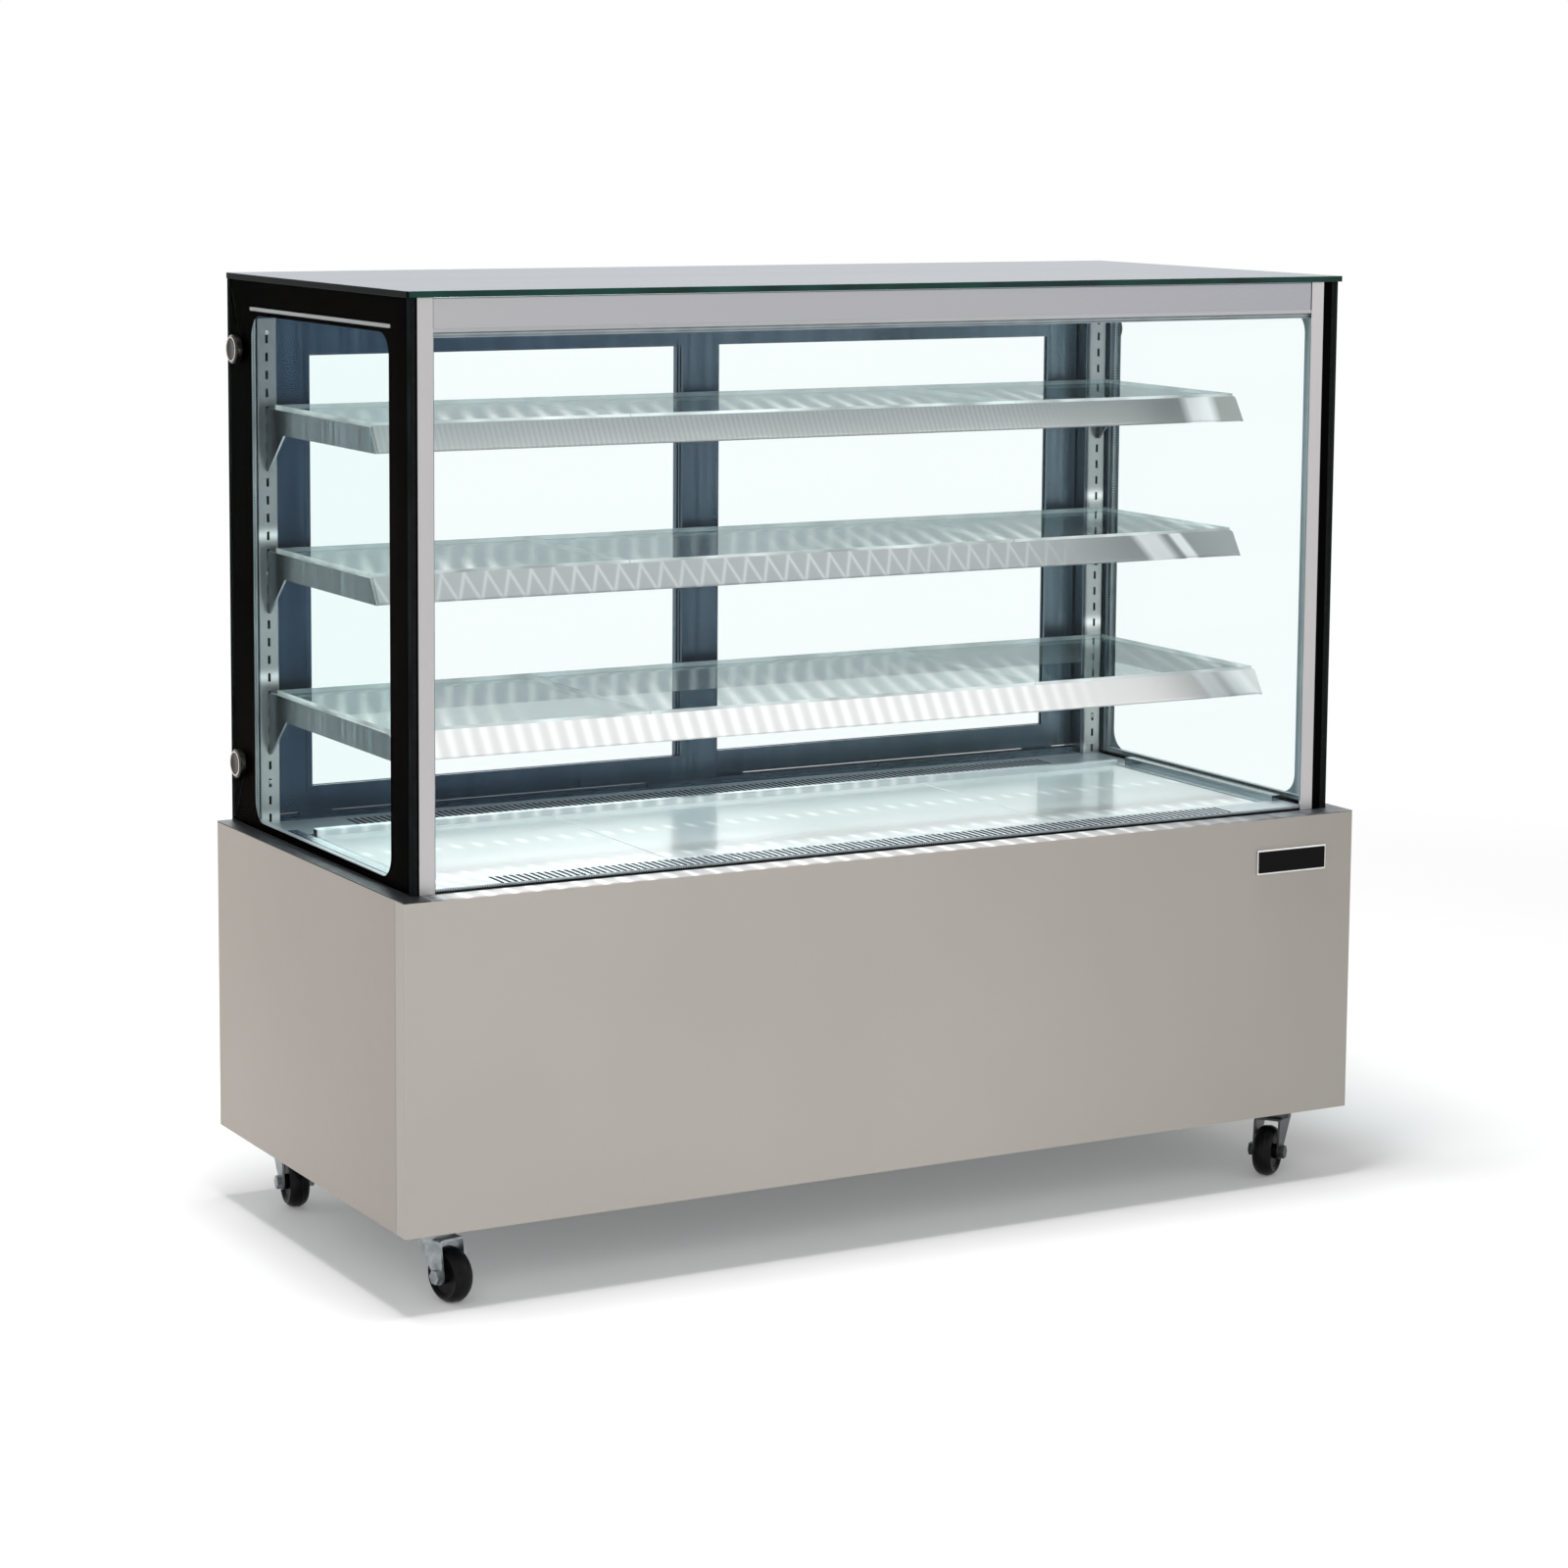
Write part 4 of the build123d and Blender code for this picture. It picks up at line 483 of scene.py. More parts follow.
def moulded(name, colour, rough=0.35, grain=700, gloss=0.5):
    """Moulded plastic with a fine texture."""
    s = Shader(name)
    base = s.ramp(s.noise(8, detail=3), shade(colour, 0.88), shade(colour, 1.12), 0.3, 0.7)
    normal = s.bump(s.noise(grain), 0.1, 0.1 * MM)
    roughness = s.span(s.noise(30), rough * 0.9, rough * 1.1)
    return s.surface(base, Roughness=roughness, Specular_IOR_Level=gloss, Normal=normal)


def zinc(name, colour):
    """Zinc plating with the cloudy bloom of passivation."""
    s = Shader(name)
    bloom = s.noise(70, detail=5)
    base = s.ramp(bloom, shade(colour, 0.6), shade(colour, 1.25), 0.3, 0.72)
    roughness = s.span(bloom, 0.3, 0.48)
    normal = s.bump(bloom, 0.06, 0.2 * MM)
    return s.surface(base, Metallic=0.85, Roughness=roughness, Normal=normal)


def finned():
    """Pack of thin aluminium fins."""
    s = Shader("finned_coil")
    fin_pitch = 2.4 * MM
    fins = s.bars((1, 0, 0), fin_pitch, 1.5)
    base = s.ramp(fins, (0.16, 0.17, 0.18), (0.62, 0.64, 0.65))
    return s.surface(base, Metallic=0.7, Roughness=0.45, Normal=s.bump(fins, 0.4, 0.6 * MM))


def zigzag(pitch, height, top):
    """Two waves of thin painted lamp reflections that lean either way and meet at the top and
    foot of a face.
    """
    lean = pitch / (2 * height)
    thin = 14.0
    return [((1, 0, lean), pitch, thin, 0.0), ((1, 0, -lean), pitch, thin, -2 * lean * top)]


def gleam_place(shelf, inset):
    """Where a leaning painted gleam crosses a shelf's front rail, an inset in mm from its right
    end.
    """
    rail_middle = 18 * MM
    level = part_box("shelf_glass_" + shelf)[0].z - rail_middle
    return GLEAM_LEAN[0] * (nose_end - inset * MM) + GLEAM_LEAN[2] * level


ZIGZAG_HEIGHT = 36 * MM
M = {
    # the front coat, with painted shade darkening it toward the right end
    "paint": painted_steel(
        "painted_steel",
        tint=WHITE,
        direction=(1, 0, 0),
        start=0.0,
        end=0.75,
        share=0.16,
    ),
    # the side coat: a darker, pinker copy of the front coat as painted shade, deepening toward
    # the front
    "side_paint": painted_steel(
        "side_painted_steel",
        tint=(1.0, 0.958, 0.94),
        direction=(0, -1, 0),
        start=-0.25,
        end=0.30,
        share=0.17,
    ),
    "header": header_steel(),
    "header_lip": steel("header_lip_steel", (0.42, 0.42, 0.43), (1, 30, 30), 0.32, 0.06),
    "post": post_steel(),
    "post_face": steel("post_face_steel", (0.52, 0.51, 0.51), (30, 30, 1), 0.36, 0.05),
    "ledge": ledge_steel(),
    "slate": slate_steel(),
    # a lighter copy of the slate, as painted light on the right post's faces into the case
    "slate_painted_light": streaked_steel("slate_light_steel", (0.20, 0.25, 0.275), (6, 6, 0.15), 0.3),
    "trim_slate": streaked_steel("trim_slate_steel", (0.34, 0.41, 0.43), (1, 0.1, 8), 0.3),
    "rail": barred_steel(
        "rail_steel",
        (0.30, 0.35, 0.37),
        (0.95, 0.98, 0.98),
        [((1, 0, 0), LAMP_PITCH, 2.2, 0.0)],
    ),
    "standard": glinting_steel(),
    "grille": barred_steel(
        "grille_steel",
        (0.55, 0.59, 0.62),
        WHITE,
        [((0.93, 0.36, 0), 30 * MM, 1.5, 0.0)],
        rough=0.4,
    ),
    # near-black walls of the grille slots: painted shade
    "slot_wall": moulded("slot_wall_shade", (0.03, 0.034, 0.04), 0.5, gloss=0.1),
    "rear_plate": steel("rear_plate_steel", (0.25, 0.285, 0.31), (1, 30, 1), 0.4, 0.2, 0.25),
    "rear_lip": barred_steel(
        "rear_lip_steel",
        (0.66, 0.70, 0.71),
        WHITE,
        [((1, 0, 0), LAMP_PITCH, 3.0, 0.0)],
    ),
    "bracket": streaked_steel("bracket_steel", (0.10, 0.125, 0.14), (1, 9, 0.2), 0.45),
    # upward edges of the shelf frames: painted highlight
    "bright": steel("painted_highlight_edge_steel", (0.86, 0.88, 0.88), (1, 30, 30), 0.2, 0.06),
    # the three shelf fronts are one steel; the levels that differ from shelf to shelf are painted
    # light, the bottom one brightest
    "nose_top": barred_steel(
        "nose_top_steel",
        (0.365, 0.375, 0.365),
        (0.43, 0.445, 0.435),
        [((1, 0, 0), 8 * MM, 1.0, 0.0)],
        [((1, 0, 0), nose_end - 72 * MM, 34 * MM)],
    ),
    "nose_middle": barred_steel(
        "nose_middle_steel",
        (0.35, 0.37, 0.375),
        (0.54, 0.56, 0.56),
        zigzag(LAMP_PITCH, ZIGZAG_HEIGHT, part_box("shelf_glass_middle")[0].z),
        [
            (GLEAM_LEAN, gleam_place("middle", 145), 26 * MM),
            (GLEAM_LEAN, gleam_place("middle", 95), 12 * MM),
        ],
    ),
    "nose_bottom": barred_steel(
        "nose_bottom_steel",
        (0.73, 0.725, 0.715),
        WHITE,
        [((1, 0, 0.05), 25 * MM, 1.4, 0.0)],
        [
            (GLEAM_LEAN, gleam_place("bottom", 85), 18 * MM),
            (GLEAM_LEAN, gleam_place("bottom", 35), 22 * MM),
        ],
    ),
    "glass": clear_glass("front_pane_glass", (0.9985, 1.0, 1.0)),
    "door_glass": clear_glass("door_pane_glass", (0.965, 0.994, 0.991)),
    "side_glass": clear_glass("side_pane_glass", (0.978, 0.9965, 0.994), 0.03),
    "shelf_glass": clear_glass(
        "shelf_pane_glass",
        (0.90, 0.93, 0.93),
        gloss=1.0,
        mirror=(0.5, 0.56, 0.57),
        bars=0.95,
    ),
    "top_glass": clear_glass(
        "top_pane_glass",
        (0.80, 0.85, 0.87),
        gloss=1.0,
        mirror=(0.68, 0.71, 0.75),
    ),
    "edge": glass_edge("glass_edge", (0.45, 0.58, 0.55)),
    "side_edge": glass_edge("side_glass_edge", (0.006, 0.009, 0.009), 0.06),
    "shelf_edge": glass_edge("shelf_glass_edge", (0.62, 0.70, 0.69)),
    "top_edge": glass_edge("top_glass_edge", (0.0025, 0.032, 0.024), 0.2),
    "top_edge_dark": glass_edge("top_glass_edge_dark", (0.002, 0.004, 0.004), 0.02),
    "enamel": enamel(),
    "enamel_back": enamel_back(),
    "spacer": dotted_spacer(),
    "silver": steel("silver_line", (0.30, 0.295, 0.295), (30, 1, 30), 0.3, 0.08),
    "gasket": rubber("gasket_rubber", (0.006, 0.007, 0.007), 0.4, 0.05),
    "deck": deck_white(),
    "lamp": light_diffuser(),
    "tub": moulded("foam_tub_liner", (0.05, 0.055, 0.06), 0.45, gloss=0.2),
    "galvanised": zinc("galvanised_sheet", (0.5, 0.52, 0.53)),
    "black_paint": moulded("compressor_paint", (0.018, 0.018, 0.02), 0.28, 300),
    "fins": finned(),
    "fan": moulded("fan_plastic", (0.03, 0.03, 0.034), 0.4),
    "copper": steel("copper_pipe", (0.66, 0.36, 0.24), (1, 1, 1), 0.3, 0.25),
    "tray": moulded("tray_plastic", (0.05, 0.05, 0.055), 0.45),
    "control": moulded("control_plastic", (0.022, 0.023, 0.026), 0.42),
    "green": moulded("rocker_green", (0.02, 0.26, 0.07), 0.2),
    "white": moulded("rocker_white", (0.66, 0.66, 0.64), 0.25),
    "knob": steel("knob_chrome", (0.055, 0.052, 0.048), (40, 1, 1), 0.3, 0.6),
    "knob_centre": steel("knob_centre_metal", (0.016, 0.013, 0.012), (1, 6, 6), 0.3, 0.6),
    "knob_ring": steel("knob_ring_metal", (0.62, 0.55, 0.50), (1, 6, 6), 0.25, 0.3),
    "zinc": zinc("zinc_plate", (0.30, 0.325, 0.335)),
    # a darker copy of the zinc, as painted shade
    "zinc_painted_shade": zinc("zinc_plate_painted_shade", (0.06, 0.062, 0.066)),
    "zinc_bright": zinc("zinc_hardware", (0.62, 0.64, 0.64)),
    "wheel": rubber("wheel_rubber", (0.003, 0.003, 0.0035), 0.3, 0.12),
    "badge": moulded("badge_black", (0.002, 0.002, 0.0022), 0.3, 200, 0.08),
    "badge_rim": steel("badge_rim_metal", (0.7, 0.7, 0.7), (1, 1, 1), 0.2, 0.1),
}


# ---- CAD nodes dressed in their materials ------------------------------------------------

def dress(node, *materials, pick=None):
    """Give a CAD node its materials; pick says which of them a polygon takes."""
    mesh = nodes[node].data
    mesh.materials.clear()
    for key in materials:
        mesh.materials.append(M[key])
    for polygon in mesh.polygons:
        polygon.material_index = pick(polygon) if pick else 0


def pane_pick(axis):
    """Faces of a pane are those whose normal lies along the axis; the rest are its edges."""
    return lambda polygon: 0 if abs(polygon.normal[axis]) > ALONG else 1


def shelf_pick(nose_limit):
    """Brackets and backs, the upward edges with a painted highlight, the rear rail or the leaning
    front.
    """

    def pick(polygon):
        if polygon.normal.z > MOSTLY:
            return 1
        if abs(polygon.normal.x) > MOSTLY or polygon.normal.y > MOSTLY:
            return 0
        return 3 if polygon.center.y < nose_limit else 2

    return pick


def top_glass_pick(polygon):
    """Faces of the top pane, its green edges, or the darker edge at its left end."""
    if abs(polygon.normal.z) > ALONG:
        return 0
    return 2 if polygon.normal.x < -0.3 else 1


def spacer_pick(polygon):
    """The silver lines lie outside the spacers, above the side windows."""
    return 1 if abs(polygon.center.x) > silver_line_x else 0


def faces_inward(polygon):
    """Faces of the fired borders that look into the case."""
    return 1 if polygon.normal.x * polygon.center.x < 0 else 0


def slot_pick(polygon):
    """Upright walls of the slots in the front grille, which take painted shade, not its folded
    ledge.
    """
    fold = 2 * MM
    upright = abs(polygon.normal.z) < PARTLY
    return 1 if upright and polygon.center.y < lip_front - fold else 0


def lip_pick(polygon):
    """Slotted plate of the rear grille, the lip before it, or the walls of the slots with their
    painted shade.
    """
    if polygon.center.y < lip_back:
        return 1 if polygon.normal.z > -PARTLY else 0
    return 2 if abs(polygon.normal.z) < PARTLY else 0


def right_inner_pick(polygon):
    """Faces of the right post that look to the left, into the case, which take painted light."""
    return 1 if polygon.normal.x < -PARTLY and polygon.center.x > 0 else 0


NOSE_DEPTH = 50 * MM
PLAIN = {
    "paint": ("front_panel", "rear_panel", "condenser_grille"),
    "side_paint": ("side_panel_left", "side_panel_right"),
    "galvanised": ("floor_pan", "base_uprights", "fan_shroud", "evaporator_fan_plate"),
    "tub": ("insulated_well",),
    "ledge": ("top_rim",),
    "trim_slate": ("deck_side_trims",),
    "slate": (
        "rear_top_rail",
        "rear_bottom_track",
        "top_side_rails",
        "door_left_frame",
        "door_right_frame",
    ),
    "deck": ("deck_panels",),
    "post": ("front_posts",),
    "header": ("header_beam",),
    "standard": ("shelf_standards",),
    "knob": ("glass_standoffs",),
    "gasket": ("glazing_gasket",),
    "lamp": ("led_strips",),
    "black_paint": ("compressor",),
    "fins": ("condenser_coil", "evaporator_coil"),
    "fan": ("condenser_fan", "evaporator_fan"),
    "copper": ("refrigerant_lines",),
    "tray": ("drip_tray",),
    "control": ("control_panel",),
    "green": ("rocker_power",),
    "white": ("rocker_light",),
    "zinc": ("caster_plates",) + tuple("caster_fork_" + corner for corner in CORNERS),
    "wheel": tuple("caster_wheel_" + corner for corner in CORNERS),
}
for key, names in PLAIN.items():
    for name in names:
        dress(name, key)

# the front right fork takes the darker zinc as painted shade
dress("caster_fork_front_right", "zinc_painted_shade")
dress("front_glass", "glass", "edge", pick=pane_pick(1))
dress("side_glass_left", "side_glass", "side_edge", pick=pane_pick(0))
dress("side_glass_right", "side_glass", "side_edge", pick=pane_pick(0))
dress("door_left_glass", "door_glass", "edge", pick=pane_pick(1))
dress("door_right_glass", "door_glass", "edge", pick=pane_pick(1))
dress("front_air_grille", "grille", "slot_wall", pick=slot_pick)
dress("rear_air_grille", "rear_plate", "rear_lip", "slot_wall", pick=lip_pick)
dress("rear_posts", "slate", "slate_painted_light", pick=right_inner_pick)
dress("top_glass", "top_glass", "top_edge", "top_edge_dark", pick=top_glass_pick)
dress("glass_spacers", "spacer", "silver", pick=spacer_pick)
dress("enamel_borders", "enamel", "enamel_back", pick=faces_inward)
for shelf in SHELVES:
    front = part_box("shelf_frame_" + shelf)[0].y
    dress(
        "shelf_frame_" + shelf,
        "bracket",
        "bright",
        "rail",
        "nose_" + shelf,
        pick=shelf_pick(front + NOSE_DEPTH),
    )
    dress("shelf_glass_" + shelf, "shelf_glass", "shelf_edge", pick=pane_pick(2))


# ---- mesh helpers ------------------------------------------------------------------------

SHARP_ANGLE = math.radians(32)


def piece(name, mesh, material, body):
    """Put a finished mesh in the scene, riding on a body."""
    item = bpy.data.objects.new(name, mesh)
    bpy.context.scene.collection.objects.link(item)
    mesh.materials.append(M[material])
    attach(item, body)
    return item


def soft_box(name, low, high, bevel, material, body):
    """Box between two corners, in metres, with its edges rounded."""
    shape = bmesh.new()
    bmesh.ops.create_cube(shape, size=1.0)
    size = [b - a for a, b in zip(low, high)]
    middle = [(a + b) / 2 for a, b in zip(low, high)]
    bmesh.ops.scale(shape, vec=size, verts=shape.verts)
    bmesh.ops.translate(shape, vec=middle, verts=shape.verts)
    bmesh.ops.bevel(
        shape,
        geom=shape.edges[:],
        offset=bevel,
        segments=2,
        affect="EDGES",
        profile=0.6,
    )
    mesh = bpy.data.meshes.new(name)
    shape.to_mesh(mesh)
    shape.free()
    return piece(name, mesh, material, body)


def lathe(shape, profile, place, steps):
    """Turn a profile of (radius, height) points about Z and move it to its place."""
    rings = []
    for radius, height in profile:
        if radius == 0:
            rings.append([shape.verts.new(place @ Vector((0, 0, height)))])
            continue
        ring = []
        for i in range(steps):
            angle = 2 * math.pi * i / steps
            point = Vector((radius * math.cos(angle), radius * math.sin(angle), height))
            ring.append(shape.verts.new(place @ point))
        rings.append(ring)
    for low, high in zip(rings, rings[1:]):
        for i in range(steps):
            j = (i + 1) % steps
            if len(low) == 1:
                shape.faces.new((low[0], high[i], high[j]))
            elif len(high) == 1:
                shape.faces.new((low[i], low[j], high[0]))
            else:
                shape.faces.new((low[i], low[j], high[j], high[i]))


def turned(name, profile, places, material, body, steps=24, smooth=True):
    """One piece made of the same turned shape at each place."""
    shape = bmesh.new()
    for place in places:
        lathe(shape, profile, place, steps)
    bmesh.ops.recalc_face_normals(shape, faces=shape.faces)
    mesh = bpy.data.meshes.new(name)
    shape.to_mesh(mesh)
    shape.free()
    if smooth:
        mesh.shade_smooth()
        mesh.set_sharp_from_angle(angle=SHARP_ANGLE)
    return piece(name, mesh, material, body)


def facing(point, axis):
    """Place at a point, in metres, with local Z along an axis."""
    turn = Vector(axis).to_track_quat("Z", "Y").to_matrix().to_4x4()
    return Matrix.Translation(Vector(point)) @ turn


def screws(name, points, axis, radius):
    """Pan-head screws with a round socket, standing on a surface of the case."""
    r = radius
    profile = (
        (0, 0.2 * r),
        (0.3 * r, 0.2 * r),
        (0.38 * r, 0.5 * r),
        (0.75 * r, 0.42 * r),
        (0.95 * r, 0.2 * r),
        (r, 0),
    )
    places = [facing(point, axis) for point in points]
    turned(name, profile, places, "zinc_bright", "case", steps=16)


# ---- trim --------------------------------------------------------------------------------

# how far trim reaches into the face that it lies on
BITE = 0.2 * MM

# bare badge plate in its rim, on the front of the base
BADGE_X = (579 * MM, 700 * MM)
BADGE_Z = (464 * MM, 500 * MM)
BADGE_RIM = 2.5 * MM
RIM_PROUD = 3.5 * MM
BADGE_PROUD = 5 * MM
front_y = base_low.y
soft_box(
    "badge_rim",
    (BADGE_X[0], front_y - RIM_PROUD, BADGE_Z[0]),
    (BADGE_X[1], front_y + BITE, BADGE_Z[1]),
    1.2 * MM,
    "badge_rim",
    "case",
)
soft_box(
    "badge_plate",
    (BADGE_X[0] + BADGE_RIM, front_y - BADGE_PROUD, BADGE_Z[0] + BADGE_RIM),
    (BADGE_X[1] - BADGE_RIM, front_y - 1 * MM, BADGE_Z[1] - BADGE_RIM),
    1.0 * MM,
    "badge",
    "case",
)

# steel faces of the corner posts, inset by the seals of the side panes
LEFT_FACE_WIDTH = 22 * MM
RIGHT_FACE_WIDTH = 21 * MM
left_outer = -post_high.x + LEFT_SEAL
right_outer = post_high.x - RIGHT_SEAL
LEFT_FACE = (left_outer, left_outer + LEFT_FACE_WIDTH)
RIGHT_FACE = (right_outer - RIGHT_FACE_WIDTH, right_outer)
for name, ends in (("left", LEFT_FACE), ("right", RIGHT_FACE)):
    soft_box(
        "post_face_" + name,
        (ends[0], post_low.y - 1.2 * MM, post_low.z),
        (ends[1], post_low.y + BITE, post_high.z - 0.5 * MM),
        0.5 * MM,
        "post_face",
        "case",
    )

# lower lip of the header, and the dark seams at its ends
LIP_HEIGHT = 5 * MM
lip_y = header_low.y
soft_box(
    "header_lip",
    (LEFT_FACE[1], lip_y - 0.8 * MM, header_low.z),
    (RIGHT_FACE[0], lip_y + BITE, header_low.z + LIP_HEIGHT),
    0.5 * MM,
    "header_lip",
    "case",
)
SEAM_HALF = 0.8 * MM
for name, seam_x in (("left", LEFT_FACE[1]), ("right", RIGHT_FACE[0])):
    soft_box(
        "header_seam_" + name,
        (seam_x - SEAM_HALF, lip_y - 0.4 * MM, header_low.z),
        (seam_x + SEAM_HALF, lip_y + 0.5 * MM, header_high.z - 0.5 * MM),
        0.2 * MM,
        "gasket",
        "case",
    )

# dished dark centres and bright rings of the round standoffs, as (radius, height) outlines
KNOB_RADIUS = 20 * MM
SUNK = 1.0 * MM
RING_LIFT = 0.6 * MM
CENTRE = (
    (0, 0.4 * MM),
    (9 * MM, 0.6 * MM),
    (13.5 * MM, 1.4 * MM),
    (14.8 * MM, 0.4 * MM),
    (14.8 * MM, 0),
)
RING = ((15.2 * MM, 0), (15.6 * MM, 0.8 * MM), (17.2 * MM, 0.8 * MM), (17.8 * MM, 0))
knob_y = (knob_low.y + knob_high.y) / 2
heights = (knob_low.z + KNOB_RADIUS, knob_high.z - KNOB_RADIUS)
for name, x, way in (("left", knob_low.x, -1), ("right", knob_high.x, 1)):
    points = [Vector((x - way * SUNK, knob_y, z)) for z in heights]
    places = [facing(point, (way, 0, 0)) for point in points]
    turned("knob_centre_" + name, CENTRE, places, "knob_centre", "case", 40)
    lift = Vector((way * RING_LIFT, 0, 0))
    places = [facing(point + lift, (way, 0, 0)) for point in points]
    turned("knob_ring_" + name, RING, places, "knob_ring", "case", 48)

# screws of the shelf standards, on the faces toward the customer
SCREW_INSET = 15 * MM
TOP_SCREW_DROP = 20 * MM
FOOT_SCREW_RISE = 60 * MM
standard_x = standard_high.x - SCREW_INSET
heights = [
    standard_high.z - TOP_SCREW_DROP,
    (standard_low.z + standard_high.z) / 2,
    standard_low.z + FOOT_SCREW_RISE,
]
points = [(side * standard_x, standard_low.y, z) for side in (-1, 1) for z in heights]
screws("standard_screws", points, (0, -1, 0), 3.2 * MM)

# screws of the rear skin, three rows of three
SKIN_SIDE = 26 * MM
SKIN_FOOT = 14 * MM
SKIN_TOP = 12 * MM
rear_y = side_high.y
rear_x = side_high.x - SKIN_SIDE
rows = (base_low.z + SKIN_FOOT, (base_low.z + base_high.z) / 2, base_high.z - SKIN_TOP)
points = [(x, rear_y, z) for x in (-rear_x, 0, rear_x) for z in rows]
screws("rear_panel_screws", points, (0, 1, 0), 4 * MM)

# bolts of the caster plates, four round each swivel, as a (radius, height) outline
BOLT = ((0, 5 * MM), (4.2 * MM, 5 * MM), (5.2 * MM, 4.2 * MM), (5.2 * MM, 0))
BOLT_X = 36 * MM
BOLT_Y = 26 * MM
PLATE_THICKNESS = 3 * MM
places = []
for corner in CORNERS:
    swivel = Vector(joints["caster_swivel_" + corner]["pos_m"])
    for dx in (-BOLT_X, BOLT_X):
        for dy in (-BOLT_Y, BOLT_Y):
            point = (swivel.x + dx, swivel.y + dy, caster_plate_top - PLATE_THICKNESS)
            places.append(facing(point, (0, 0, -1)))
turned("caster_bolts", BOLT, places, "zinc_bright", "case", steps=6, smooth=False)


# ---- wheels ------------------------------------------------------------------------------

def tyre_profile(radius, half, crown):
    """Outline of a wheel from hub to hub over a rounded tread with a mould line."""
    hub = 16.4 * MM
    mould_line = 0.5 * MM
    steps = 10
    points = [
        (6.1 * MM, -hub),
        (11 * MM, -hub),
        (11 * MM, -10 * MM),
        (13 * MM, -9.6 * MM),
        (24 * MM, -10.2 * MM),
        (25 * MM, -12 * MM),
        (27 * MM, -12 * MM),
        (27.6 * MM, -13.4 * MM),
    ]
    hub_points = list(points)
    for i in range(steps + 1):
        across = -1 + 2 * i / steps
        drop = crown * across**4 * 0.55 + crown * across**2 * 0.45
        points.append((radius - drop, across * half))
        if i == steps // 2 + 1:
            points.append((radius - drop + mould_line, across * half + mould_line))
            points.append((radius - drop, across * half + 2 * mould_line))
    points += [(r, -x) for r, x in reversed(hub_points)]
    return points


TYRE_CLEARANCE = 0.6 * MM
TYRE_HALF = 14 * MM
TYRE_CROWN = 6.5 * MM
for corner in CORNERS:
    roll = joints["caster_roll_" + corner]
    wheel_low, wheel_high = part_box("caster_wheel_" + corner)
    radius = (wheel_high.z - wheel_low.z) / 2
    place = facing(roll["pos_m"], roll["axis"])
    profile = tyre_profile(radius - TYRE_CLEARANCE, TYRE_HALF, TYRE_CROWN)
    name = "wheel_" + corner
    wheel = turned(name, profile, [place], "wheel", name, 56)
    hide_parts("caster_wheel_" + corner)


# ---- stage -------------------------------------------------------------------------------

FLOOR_TONE = (0.70, 0.70, 0.70)
FLOOR_LIFT = 0.13
FLOOR_REACH = 14.0
WHITE_START = 1.4
WHITE_FULL = 3.5
WORLD_LIGHT = 0.42


def paper_floor():
    """Pale floor, lifted to plain white where the camera and reflections see it lit.

    It keeps the object's shadow, and turns to plain white a few metres out.
    """
    s = Shader("paper_floor")
    tone = s.ramp(s.noise(3), shade(FLOOR_TONE, 0.99), shade(FLOOR_TONE, 1.01))
    diffuse = s.add("BsdfDiffuse", Color=tone)
    path = s.add("LightPath")
    seen = s.math("MAXIMUM", path.outputs["Is Camera Ray"], path.outputs["Is Glossy Ray"])
    seen = s.math("MAXIMUM", seen, path.outputs["Is Transmission Ray"])
    lift = s.add("Emission", Strength=s.math("MULTIPLY", seen, FLOOR_LIFT))
    near = s.add("AddShader")
    s.tree.links.new(diffuse.outputs[0], near.inputs[0])
    s.tree.links.new(lift.outputs[0], near.inputs[1])
    far = s.add("Emission")
    reach = s.math("MULTIPLY", seen, s.span(s.distance(), 0.0, 1.0, WHITE_START, WHITE_FULL))
    blend = s.add("MixShader", Fac=reach)
    s.tree.links.new(near.outputs[0], blend.inputs[1])
    s.tree.links.new(far.outputs[0], blend.inputs[2])
    s.tree.links.new(blend.outputs[0], s.output.inputs["Surface"])
    return s.material


def floor():
    """Square of pale paper under the case."""
    mesh = bpy.data.meshes.new("floor")
    reach = FLOOR_REACH
    corners = [(-reach, -reach, 0), (reach, -reach, 0), (reach, reach, 0), (-reach, reach, 0)]
    mesh.from_pydata(corners, [], [(0, 1, 2, 3)])
    mesh.materials.append(paper_floor())
    item = bpy.data.objects.new("floor", mesh)
    bpy.context.scene.collection.objects.link(item)


def white_world():
    """White to the camera and in reflections, soft grey as the light on the object."""
    world = bpy.data.worlds.new("studio")
    world.use_nodes = True
    tree = world.node_tree
    tree.nodes.clear()
    path = tree.nodes.new("ShaderNodeLightPath")
    most = tree.nodes.new("ShaderNodeMath")
    most.operation = "MAXIMUM"
    tree.links.new(path.outputs["Is Camera Ray"], most.inputs[0])
    tree.links.new(path.outputs["Is Glossy Ray"], most.inputs[1])
    seen = tree.nodes.new("ShaderNodeMath")
    seen.operation = "MAXIMUM"
    tree.links.new(most.outputs[0], seen.inputs[0])
    tree.links.new(path.outputs["Is Transmission Ray"], seen.inputs[1])
    level = tree.nodes.new("ShaderNodeMapRange")
    level.inputs["To Min"].default_value = WORLD_LIGHT
    level.inputs["To Max"].default_value = 1.0
    tree.links.new(seen.outputs[0], level.inputs["Value"])
    sky = tree.nodes.new("ShaderNodeBackground")
    sky.inputs["Color"].default_value = (*WHITE, 1)
    tree.links.new(level.outputs["Result"], sky.inputs["Strength"])
    output = tree.nodes.new("ShaderNodeOutputWorld")
    tree.links.new(sky.outputs[0], output.inputs["Surface"])
    bpy.context.scene.world = world


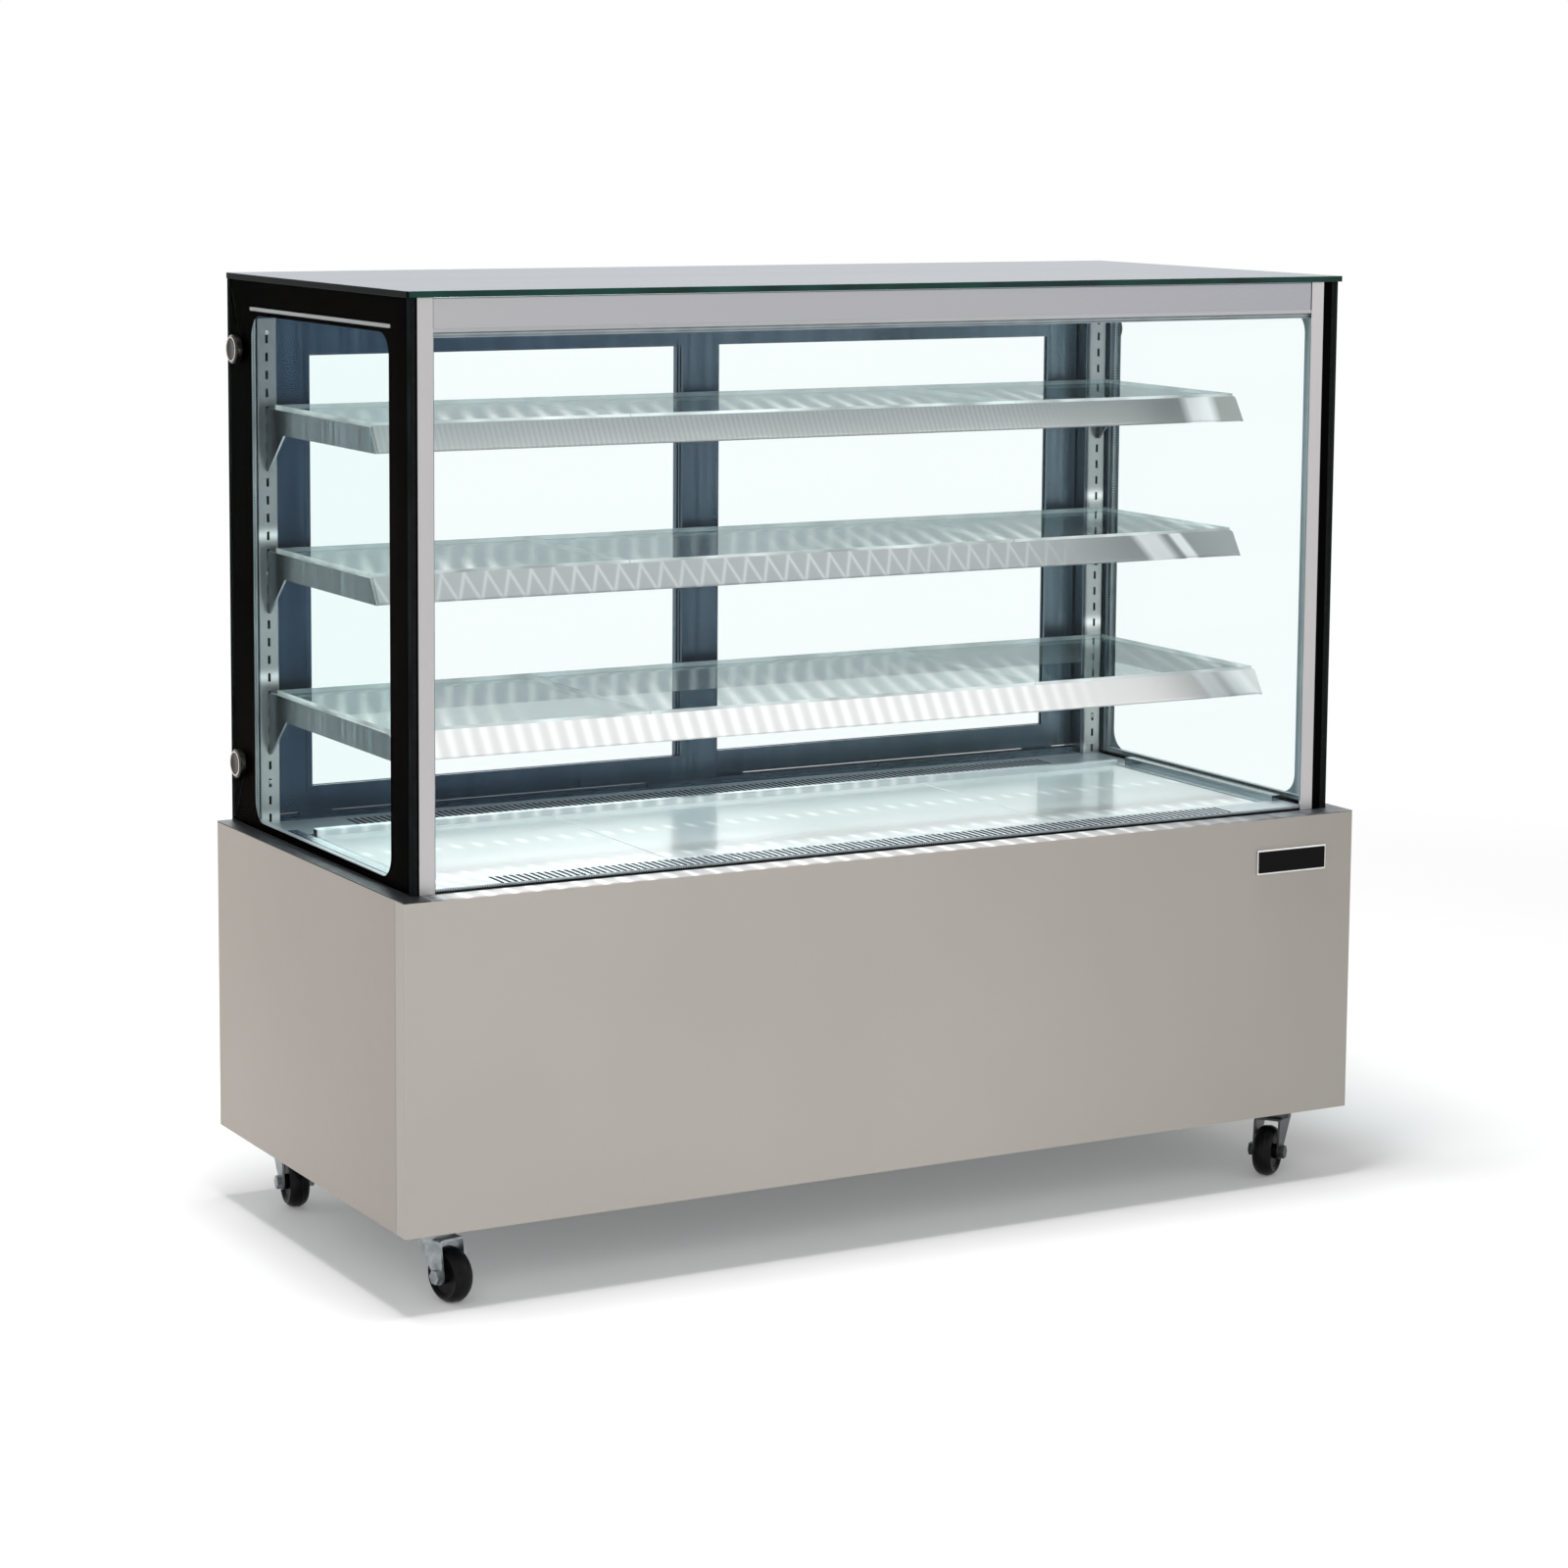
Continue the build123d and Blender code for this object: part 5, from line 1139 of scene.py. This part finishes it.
def soft_lamp(name, place, target, size, power, mirrored=True):
    """Rectangular lamp aimed at a target, with or without its image in glass and steel."""
    light = bpy.data.lights.new(name, "AREA")
    light.shape = "RECTANGLE"
    light.size, light.size_y = size
    light.energy = power
    item = bpy.data.objects.new(name, light)
    bpy.context.scene.collection.objects.link(item)
    item.visible_glossy = mirrored
    item.location = place
    item.rotation_euler = (Vector(target) - Vector(place)).to_track_quat("-Z", "Y").to_euler()


floor()
white_world()
# place and target in metres, size in metres, power in watts; the key lamp has no image,
# because from behind it would fill the top pane with white
soft_lamp("key", (-1.95, -3.2, 1.9), (-0.4, -0.2, 0.5), (2.8, 2.4), 55, mirrored=False)
soft_lamp("fill", (3.2, -3.6, 2.4), (0, 0, 0.6), (2.4, 2.4), 10)
soft_lamp("left", (-3.5, 2.3, 2.0), (-0.2, 0.2, 0.6), (2.4, 2.4), 21)
soft_lamp("top", (-0.5, -0.15, 5.5), (0, 0, 0), (1.6, 1.4), 290)
soft_lamp("back", (0.8, 4.2, 2.6), (0, 0, 0.7), (3.0, 2.0), 45)


# ---- camera ------------------------------------------------------------------------------

CAMERA_PLACE = (-2.7099, -4.8406, 1.5415)
YAW = math.radians(29.09)
PITCH_DOWN = math.radians(6.92)
ROLL = math.radians(0.42)
FOCAL_LENGTH = 89.94
SENSOR_WIDTH = 36.0
LENS_SHIFT = -0.1225

lens = bpy.data.cameras.new("camera")
lens.sensor_width = SENSOR_WIDTH
lens.lens = FOCAL_LENGTH
lens.shift_y = LENS_SHIFT
camera = bpy.data.objects.new("camera", lens)
bpy.context.scene.collection.objects.link(camera)
camera.location = CAMERA_PLACE
turn = Matrix.Rotation(-YAW, 3, "Z") @ Matrix.Rotation(math.pi / 2 - PITCH_DOWN, 3, "X")
camera.rotation_euler = (turn @ Matrix.Rotation(ROLL, 3, "Z")).to_euler()
bpy.context.scene.camera = camera

scene = bpy.context.scene
scene.view_settings.view_transform = "Standard"
scene.cycles.max_bounces = 16
scene.cycles.glossy_bounces = 8
scene.cycles.transparent_max_bounces = 32
